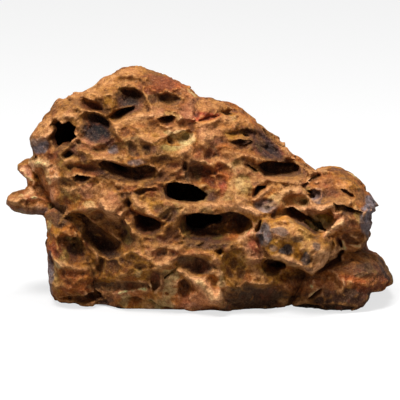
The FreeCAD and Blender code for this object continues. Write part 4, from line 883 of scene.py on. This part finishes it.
SPOTS = [  # brushed on last: colour spots; the black, dark drab and dark brown ones in the hollows are painted shade, the grey strips along the left and right edges are painted reflection, and the pale yellow inside the yellow-rimmed pit is partly painted highlight
    ((263, 232), (8, 11), 15, SLATE, 0.7), ((284, 246), (8, 6), -15, SLATE * 0.35, 0.8), ((306, 257), (6, 6), 0, SLATE * 0.4, 0.75),
    ((318, 246), (5, 4), 0, SLATE * 0.5, 0.7), ((277, 229), (9, 4), 10, SLATE * 0.6, 0.7), ((296, 237), (7, 3), 25, SLATE * 0.5, 0.6),
    ((292, 260), (4, 3), 0, SLATE * 0.4, 0.6), ((309, 266), (4, 3), 0, SLATE * 0.4, 0.6), ((272, 244), (5, 4), 0, SLATE, 0.5),
    ((186, 141), (8, 8), 0, YELLOW, 0.55), ((172, 149), (11, 3), 5, YELLOW, 0.6), ((178, 134), (12, 3), 5, YELLOW * 0.8, 0.45),
    ((90, 236), (22, 4), 46, BLACK, 0.5), ((79, 224), (8, 4), 30, BLACK, 0.3), ((132, 98), (8, 6), 0, DRAB * 0.5, 0.6),
    ((88, 104), (12, 4), 16, RUST * 0.6, 0.5), ((226, 176), (8, 9), 0, ORANGE * 0.8, 0.4), ((243, 186), (8, 10), 0, YELLOW * 0.75, 0.35),
    ((286, 287), (9, 8), 0, BROWN * 0.5, 0.85), ((115, 152), (5, 4), 0, GREY, 0.5), ((41, 146), (7, 7), 0, GREY * 0.8, 0.4), ((50, 280), (3, 20), 0, GREY * 0.8, 0.5),
    ((318, 222), (12, 6), 15, YELLOW * 0.6, 0.5), ((372, 216), (6, 18), 8, GREY * 1.1, 0.5), ((300, 200), (8, 5), 10, YELLOW * 0.7, 0.4),
]


def paint(pos, normal, i_pos):
    """Linear RGB per vertex."""
    normal = normal.astype(np.float64)
    u, v, w = pos[:, 0], pos[:, 1], pos[:, 2]
    big = trilinear(OCC_BIG, i_pos); small = trilinear(OCC_SMALL, i_pos)
    depth = -trilinear(BASE, i_pos)
    na, nb, nc = trilinear(n35, i_pos), trilinear(n15, i_pos), trilinear(n7, i_pos)
    nd = trilinear(np.roll(n15, 61, 0), i_pos)
    ne, ng = trilinear(n3, i_pos), trilinear(np.roll(n7, 41, 1), i_pos)
    col = np.empty((len(u), 3)); col[:] = BASECOAT

    def lay(mask, colour):
        m = np.clip(mask, 0, 1)[:, None]
        col[:] = col * (1 - m) + colour * m

    lay(np.clip(nb * 4 + ne * 1.2, 0, 1) * 0.6, ORANGE)
    lay(np.clip(nd * 3 - 0.6 + nc, 0, 1) * 0.6, PINK)
    lay(np.clip(-nd * 4 - 0.4 + nc * 1.5, 0, 1) * 0.65, OCHRE)
    lay(np.clip(ng * 4 - 1.6 + ne, 0, 1) * 0.45, YELLOW)
    lay(np.clip(-na * 2.5 - 0.1 + nc, 0, 1) * 0.6, BROWN)
    lay(np.clip(nc * 3 - 0.9 + ne, 0, 1) * 0.5, RUST)
    lay(np.clip(-ng * 3 - 1.0 + ne, 0, 1) * 0.5, DRAB)
    facing = np.clip(normal[:, 2] * 2.0 + 0.4, 0, 1) * np.clip((w - (np.interp(v, [0, 170], [0, -10]))) / 10 + 0.5, 0, 1)
    px = u / UNIT + 200; py = 313.5 - (v + 14.6) / UNIT
    px = px + 2.5 * nb + 2.5 * nc + 1.2 * ne; py = py + 2.5 * nd + 2.5 * ng + 1.2 * ne
    for (cx, cy), (a, b), turn, colour, k in PAINT:
        t = math.radians(turn)
        dx, dy = px - cx, py - cy
        x, y = dx * math.cos(t) + dy * math.sin(t), -dx * math.sin(t) + dy * math.cos(t)
        q = (x / a) ** 2 + (y / b) ** 2
        lay(facing * k * np.clip((1.15 - q) * 2.2 + 0.5, 0, 1), colour)
    iu = np.clip((u - U1[0]) / VOX, 0, NU - 1.001); iv = np.clip((v - V1[0]) / VOX, 0, NV - 1.001)
    rel = relief[iu.astype(int), iv.astype(int)]; lip = CREST[iu.astype(int), iv.astype(int)]
    # painted shade in the middles of the scallop bowls and painted highlight on the scallop crests
    lay(facing * np.clip((-rel - 0.8) / 3.0, 0, 1) * 0.55, BROWN * 0.7)
    lay(facing * np.clip((rel - 1.4) / 2.5 + 0.4 * ne, 0, 1) * 0.45, TAN)
    # painted shade, laid in black over the creases and hollows
    for (cx, cy), (a, b), turn, k in SHADE_PATCHES:
        t = math.radians(turn)
        dx, dy = px - cx, py - cy
        x, y = dx * math.cos(t) + dy * math.sin(t), -dx * math.sin(t) + dy * math.cos(t)
        lay(facing * k * np.clip((1.15 - (x / a) ** 2 - (y / b) ** 2) * 1.6, 0, 1), BLACK)
    # painted highlight on the ledges that catch the light from above
    for row in LEDGES:
        t = math.radians(row[4])
        dx, dy = px - row[0], py - row[1]
        x, y = dx * math.cos(t) + dy * math.sin(t), -dx * math.sin(t) + dy * math.cos(t)
        q = (x / row[2]) ** 2 + (y / row[3]) ** 2
        lay(facing * 0.5 * np.clip((1.2 - q) * 1.6, 0, 1) * np.clip(0.75 + ne + nc, 0, 1), TAN)
    # painted shade on the undercuts that lean forward
    for row in UNDERCUTS:
        t = math.radians(row[4])
        dx, dy = px - row[0], py - row[1]
        x, y = dx * math.cos(t) + dy * math.sin(t), -dx * math.sin(t) + dy * math.cos(t)
        q = (x / row[2]) ** 2 + (y / row[3]) ** 2
        lay(facing * 0.55 * np.clip((1.2 - q) * 1.6, 0, 1) * np.clip(0.85 + ne, 0, 1), BROWN * 0.5)
    # painted highlight along the raised lips
    lay(facing * np.clip(lip / 2.2 - 0.15, 0, 1) * 0.7, TAN * 1.08)
    # hollows are painted dark as painted shade, the more so the deeper and tighter they are
    hollow = np.clip((big - 0.52) * 4.2, 0, 1)
    tight = np.clip((small - 0.55) * 4.0, 0, 1)
    deep = np.clip((depth - 5.0) / 14.0, 0, 1)
    lay(np.clip(0.55 * hollow + 0.35 * deep, 0, 0.85), BROWN * 0.45)
    lay(np.clip(0.6 * tight, 0, 0.7), DARK * 0.6)
    lay(np.clip((depth - 15) / 12.0, 0, 0.85), BLACK)
    # crests are painted pale: painted highlight
    crest = np.clip((0.42 - small) * 4.5, 0, 1)
    lay(0.75 * crest, TAN * 1.15)
    lay(np.clip((0.3 - big) * 3.0, 0, 1) * 0.4, TAN * 1.1)
    for (cx, cy), (a, b), turn, colour, k in SPOTS:
        t = math.radians(turn)
        dx, dy = px - cx, py - cy
        x, y = dx * math.cos(t) + dy * math.sin(t), -dx * math.sin(t) + dy * math.cos(t)
        lay(facing * k * np.clip((1.1 - (x / a) ** 2 - (y / b) ** 2) * 2.0 + 0.5 * ne, 0, 1), colour)
    # painted light and shade: each area's colour is multiplied by its gain
    for cx, cy, a, b, turn, gain in LIGHT_AND_SHADE_GAINS:
        t = math.radians(turn)
        dx, dy = px - cx, py - cy
        x, y = dx * math.cos(t) + dy * math.sin(t), -dx * math.sin(t) + dy * math.cos(t)
        m = facing * np.clip((1.3 - (x / a) ** 2 - (y / b) ** 2) * 1.3, 0, 1)
        col *= (1 + (gain - 1) * m)[:, None]
    lum = col @ np.array([0.2126, 0.7152, 0.0722])
    # pale paint, painted highlights included, is chalkier, dark paint redder
    col = lum[:, None] + (col - lum[:, None]) * (1.20 - 0.33 * np.clip((lum - 0.15) / 0.25, 0, 1))[:, None]
    col = col * (1 + np.clip((0.09 - lum) / 0.07, 0, 1)[:, None] * np.array([0.18, -0.05, -0.14]))
    return np.clip(col, 0.004, 0.9), big, small, depth


# ---------------------------------------------------------------------------
# Materials
# ---------------------------------------------------------------------------
def casting_material(name, tint=(1, 1, 1), wet=0.0):
    m = bpy.data.materials.new(name)
    m.use_nodes = True
    nt = m.node_tree
    nt.nodes.clear()
    N, L = nt.nodes.new, nt.links.new
    out = N("ShaderNodeOutputMaterial"); bsdf = N("ShaderNodeBsdfPrincipled")
    L(bsdf.outputs[0], out.inputs[0])
    co = N("ShaderNodeTexCoord")
    att = N("ShaderNodeVertexColor"); att.layer_name = "paint"
    hol = N("ShaderNodeAttribute"); hol.attribute_name = "hollow"

    def noise_node(scale, detail, rough=0.6):
        n = N("ShaderNodeTexNoise"); n.inputs["Scale"].default_value = scale
        n.inputs["Detail"].default_value = detail; n.inputs["Roughness"].default_value = rough
        L(co.outputs["Object"], n.inputs["Vector"])
        return n

    def ramp(src, lo, hi, a, b):
        r = N("ShaderNodeMapRange"); r.inputs["From Min"].default_value = lo; r.inputs["From Max"].default_value = hi
        r.inputs["To Min"].default_value = a; r.inputs["To Max"].default_value = b
        L(src, r.inputs["Value"])
        return r.outputs[0]

    def mix(kind, fac, a, b):
        x = N("ShaderNodeMix"); x.data_type = "RGBA"; x.blend_type = kind
        if isinstance(fac, float):
            x.inputs[0].default_value = fac
        else:
            L(fac, x.inputs[0])
        for s, val in ((x.inputs[6], a), (x.inputs[7], b)):
            if isinstance(val, tuple):
                s.default_value = val + (1,)
            else:
                L(val, s)
        return x.outputs[2]

    fine = noise_node(900, 5, 0.7)
    mid = noise_node(260, 4, 0.65)
    broad = noise_node(90, 4, 0.6)
    spots = N("ShaderNodeTexVoronoi"); spots.inputs["Scale"].default_value = 420; L(co.outputs["Object"], spots.inputs["Vector"])
    c = mix("MULTIPLY", 1.0, att.outputs[0], tint)
    c = mix("MULTIPLY", ramp(mid.outputs[0], 0.42, 0.60, 0.0, 0.85), c, (0.52, 0.42, 0.36))
    c = mix("MIX", ramp(broad.outputs[0], 0.56, 0.72, 0.0, 0.45), c, tuple(srgb(150, 74, 38)))
    c = mix("SCREEN", ramp(fine.outputs[0], 0.54, 0.70, 0.0, 0.55), c, (0.34, 0.22, 0.13))
    c = mix("MULTIPLY", ramp(fine.outputs[0], 0.48, 0.34, 0.0, 0.8), c, (0.42, 0.34, 0.30))
    c = mix("MULTIPLY", ramp(spots.outputs["Distance"], 0.0, 0.22, 0.55, 0.0), c, (0.30, 0.22, 0.18))
    L(c, bsdf.inputs["Base Color"])
    L(ramp(mid.outputs[0], 0.3, 0.7, 0.62 - wet, 0.9 - wet), bsdf.inputs["Roughness"])
    bsdf.inputs["Specular IOR Level"].default_value = 0.35
    hsum = N("ShaderNodeMath"); hsum.operation = "MULTIPLY_ADD"
    L(fine.outputs[0], hsum.inputs[0]); hsum.inputs[1].default_value = 0.45; L(mid.outputs[0], hsum.inputs[2])
    hs2 = N("ShaderNodeMath"); hs2.operation = "MULTIPLY_ADD"
    L(spots.outputs["Distance"], hs2.inputs[0]); hs2.inputs[1].default_value = 0.35; L(hsum.outputs[0], hs2.inputs[2])
    bump = N("ShaderNodeBump"); bump.inputs["Strength"].default_value = 0.9; bump.inputs["Distance"].default_value = 0.0019
    L(hs2.outputs[0], bump.inputs["Height"]); L(bump.outputs[0], bsdf.inputs["Normal"])
    return m


def plain_material(name, lo, hi, scale, rough, bump_m):
    m = bpy.data.materials.new(name)
    m.use_nodes = True
    nt = m.node_tree
    bsdf = nt.nodes["Principled BSDF"]
    co = nt.nodes.new("ShaderNodeTexCoord")
    n = nt.nodes.new("ShaderNodeTexNoise"); n.inputs["Scale"].default_value = scale; n.inputs["Detail"].default_value = 6
    r = nt.nodes.new("ShaderNodeValToRGB")
    r.color_ramp.elements[0].position = 0.35; r.color_ramp.elements[0].color = tuple(lo) + (1,)
    r.color_ramp.elements[1].position = 0.68; r.color_ramp.elements[1].color = tuple(hi) + (1,)
    b = nt.nodes.new("ShaderNodeBump"); b.inputs["Distance"].default_value = bump_m; b.inputs["Strength"].default_value = 0.6
    k = nt.nodes.new("ShaderNodeMapRange"); k.inputs["To Min"].default_value = rough - 0.12; k.inputs["To Max"].default_value = rough + 0.1
    nt.links.new(co.outputs["Object"], n.inputs["Vector"])
    nt.links.new(n.outputs[0], r.inputs[0]); nt.links.new(r.outputs[0], bsdf.inputs["Base Color"])
    nt.links.new(n.outputs[0], b.inputs["Height"]); nt.links.new(b.outputs[0], bsdf.inputs["Normal"])
    nt.links.new(n.outputs[0], k.inputs["Value"]); nt.links.new(k.outputs[0], bsdf.inputs["Roughness"])
    return m


# ---------------------------------------------------------------------------
# Build each casting
# ---------------------------------------------------------------------------
SEAM = (YY - 22.5)[None] + f32(3.0) * n15 + f32(1.4) * n7      # the parting seam wanders like a mould line


def build(name, region, hollow, side, node, material):
    lim = np.ones(SHAPE[1:], f32)
    f = SHELL if hollow else F
    g = np.maximum(f, region + f32(0.06))
    g = np.maximum(g, GROUND)
    if side == "front":
        g = np.maximum(g, SEAM + 0.15)
    if side == "rear":
        g = np.maximum(g, 0.15 - SEAM)
    idx = np.argwhere(g < 0)
    lo = np.maximum(idx.min(0) - 2, 0); hi = np.minimum(idx.max(0) + 3, SHAPE)
    sub = g[lo[0]:hi[0], lo[1]:hi[1], lo[2]:hi[2]]
    pos, quads = surface_net(sub)
    pos, quads, dropped = largest_part(pos, quads)
    ip = (pos + lo).astype(f32)
    ip = pin(ip, f, region + f32(0.06))
    if side:
        ip = pin(ip, f, SEAM + 0.15 if side == "front" else 0.15 - SEAM)
    p = np.stack([U1[0] + ip[:, 0] * VOX, V1[0] + ip[:, 1] * VOX, W1[0] + ip[:, 2] * VOX], 1)
    xyz = np.stack([p[:, 0], p[:, 1] * SE - p[:, 2] * CE + YMID, p[:, 1] * CE + p[:, 2] * SE], 1) / 1000
    me = bpy.data.meshes.new(name)
    me.vertices.add(len(xyz)); me.vertices.foreach_set("co", xyz.astype(f32).ravel())
    me.loops.add(len(quads) * 4); me.loops.foreach_set("vertex_index", quads.astype(np.int32).ravel())
    me.polygons.add(len(quads)); me.polygons.foreach_set("loop_start", np.arange(0, len(quads) * 4, 4, dtype=np.int32))
    me.update(calc_edges=True)
    me.validate()
    me.shade_smooth()
    me.set_sharp_from_angle(angle=math.radians(62))
    nrm = np.empty(len(me.vertices) * 3, f32); me.vertices.foreach_get("normal", nrm); nrm = nrm.reshape(-1, 3)
    wn = -nrm[:, 1] * CE + nrm[:, 2] * SE
    vn = nrm[:, 1] * SE + nrm[:, 2] * CE
    col, big, small, depth = paint(p, np.stack([nrm[:, 0], vn, wn], 1), ip)
    a = me.color_attributes.new("paint", "FLOAT_COLOR", "POINT")
    a.data.foreach_set("color", np.concatenate([col, np.ones((len(col), 1))], 1).astype(f32).ravel())
    h = me.attributes.new("hollow", "FLOAT", "POINT"); h.data.foreach_set("value", big.astype(f32))
    ob = bpy.data.objects.new(name, me)
    bpy.context.scene.collection.objects.link(ob)
    me.materials.append(material)
    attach(ob, "root"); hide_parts(node)
    print("  %-18s %7d quads, %d crumbs dropped, %.1f s" % (name, len(quads), dropped, time.time() - T0))
    return ob


MATS = {
    "rock_cast": casting_material("rock_cast"),
    "dark_cast": casting_material("dark_cast", (0.95, 0.93, 0.92)),
    "tan_cast": casting_material("tan_cast"),
    "brown_cast": casting_material("brown_cast"),
    "ochre_cast": casting_material("ochre_cast"),
}
build("cast_front_shell", REGION["rock"], True, "front", "front_shell", MATS["rock_cast"])
build("cast_rear_shell", REGION["rock"], True, "rear", "rear_shell", MATS["rock_cast"])
build("cast_right_boulder", REGION["boulder"], False, None, "right_boulder", MATS["dark_cast"])
build("cast_right_shoulder", REGION["shoulder"], False, None, "right_shoulder", MATS["tan_cast"])
build("cast_left_foot_block", REGION["block"], False, None, "left_foot_block", MATS["brown_cast"])
build("cast_left_spur", REGION["spur"], False, None, "left_spur", MATS["brown_cast"])
build("cast_overhang_slab", REGION["slab"], False, None, "overhang_slab", MATS["ochre_cast"])

ring_mat = plain_material("ring_cast", srgb(84, 74, 64), srgb(120, 108, 94), 120, 0.7, 0.0006)
dowel_mat = plain_material("dowel_resin", srgb(132, 122, 104), srgb(170, 160, 140), 200, 0.6, 0.0003)
rubber_mat = plain_material("pad_rubber", srgb(22, 22, 23), srgb(46, 46, 48), 400, 0.75, 0.0003)
for node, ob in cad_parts.items():
    mat = ring_mat if node == "base_ring" else dowel_mat if node == "bond_dowels" else rubber_mat if node.startswith("foot_pad") else None
    if mat is not None:
        if len(ob.material_slots) == 0:
            ob.data.materials.append(mat)
        for s in ob.material_slots:
            s.material = mat

# ---------------------------------------------------------------------------
# Floor, light and camera
# ---------------------------------------------------------------------------
bpy.ops.mesh.primitive_plane_add(size=8, location=(0, 0, 0))
floor = bpy.context.object
floor.name = "floor"
fm = bpy.data.materials.new("floor"); fm.use_nodes = True
fb = fm.node_tree.nodes["Principled BSDF"]
fb.inputs["Base Color"].default_value = (0.9, 0.9, 0.9, 1); fb.inputs["Roughness"].default_value = 0.9
fb.inputs["Specular IOR Level"].default_value = 0.1
ft = fm.node_tree
seen = ft.nodes.new("ShaderNodeLightPath"); glow = ft.nodes.new("ShaderNodeEmission"); glow.inputs[0].default_value = (1, 1, 1, 1)
glow.inputs[1].default_value = 1.0
dim = ft.nodes.new("ShaderNodeBsdfDiffuse"); dim.inputs[0].default_value = (0.30, 0.29, 0.28, 1)
lit = ft.nodes.new("ShaderNodeMixShader"); lit.inputs[0].default_value = 0.72
# the floor inside the cave has only the light that falls in there
spot = ft.nodes.new("ShaderNodeNewGeometry"); near = ft.nodes.new("ShaderNodeVectorMath"); near.operation = "MULTIPLY_ADD"
near.inputs[1].default_value = (1 / 0.100, 1 / 0.052, 0); near.inputs[2].default_value = (0.05, -0.115, 0)
far = ft.nodes.new("ShaderNodeVectorMath"); far.operation = "LENGTH"
inside = ft.nodes.new("ShaderNodeMapRange"); inside.inputs["From Min"].default_value = 0.9; inside.inputs["From Max"].default_value = 1.0
inside.inputs["To Min"].default_value = 0.0; inside.inputs["To Max"].default_value = 0.72
ft.links.new(spot.outputs["Position"], near.inputs[0]); ft.links.new(near.outputs[0], far.inputs[0])
ft.links.new(far.outputs["Value"], inside.inputs["Value"]); ft.links.new(inside.outputs[0], lit.inputs[0])
ft.links.new(fb.outputs[0], lit.inputs[1]); ft.links.new(glow.outputs[0], lit.inputs[2])
pick = ft.nodes.new("ShaderNodeMixShader")
ft.links.new(seen.outputs["Is Camera Ray"], pick.inputs[0]); ft.links.new(dim.outputs[0], pick.inputs[1]); ft.links.new(lit.outputs[0], pick.inputs[2])
ft.links.new(pick.outputs[0], ft.nodes["Material Output"].inputs[0])
floor.data.materials.append(fm)

world = bpy.data.worlds.new("studio")
bpy.context.scene.world = world
world.use_nodes = True
wt = world.node_tree
back = wt.nodes["Background"]
path = wt.nodes.new("ShaderNodeLightPath")
level = wt.nodes.new("ShaderNodeMapRange")
level.inputs["To Min"].default_value = 0.26; level.inputs["To Max"].default_value = 1.0
wt.links.new(path.outputs["Is Camera Ray"], level.inputs["Value"])
back.inputs[0].default_value = (1.0, 1.0, 1.0, 1)
wt.links.new(level.outputs[0], back.inputs[1])


def area(name, loc, target, size, power):
    l = bpy.data.lights.new(name, "AREA"); l.shape = "RECTANGLE"; l.size, l.size_y = size; l.energy = power
    o = bpy.data.objects.new(name, l); bpy.context.scene.collection.objects.link(o)
    o.location = loc
    d = np.array(target) - np.array(loc)
    from mathutils import Vector
    o.rotation_euler = Vector(d).to_track_quat("-Z", "Y").to_euler()
    return o


area("key", (-0.35, -0.55, 1.25), (0, 0, 0.08), (0.5, 0.4), 20)
area("top", (0.15, 0.05, 1.5), (0, 0, 0.08), (0.6, 0.5), 16)

scene = bpy.context.scene
scene.view_settings.view_transform = "Standard"
scene.view_settings.look = "None"
scene.view_settings.exposure = 0.0
cam = bpy.data.cameras.new("camera")
co = bpy.data.objects.new("camera", cam)
scene.collection.objects.link(co)
DIST = 6.0
tu, tv = sheet((200, 200))
ty, tz = tv * SE + YMID, tv * CE
co.location = (tu / 1000, ty / 1000 - DIST * CE, tz / 1000 + DIST * SE)
co.rotation_euler = (math.pi / 2 - ELEV, 0, 0)
cam.sensor_width = 36
cam.lens = 36 * DIST / (400 * UNIT / 1000)
cam.clip_end = 30
scene.camera = co

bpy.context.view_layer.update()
clock("done")
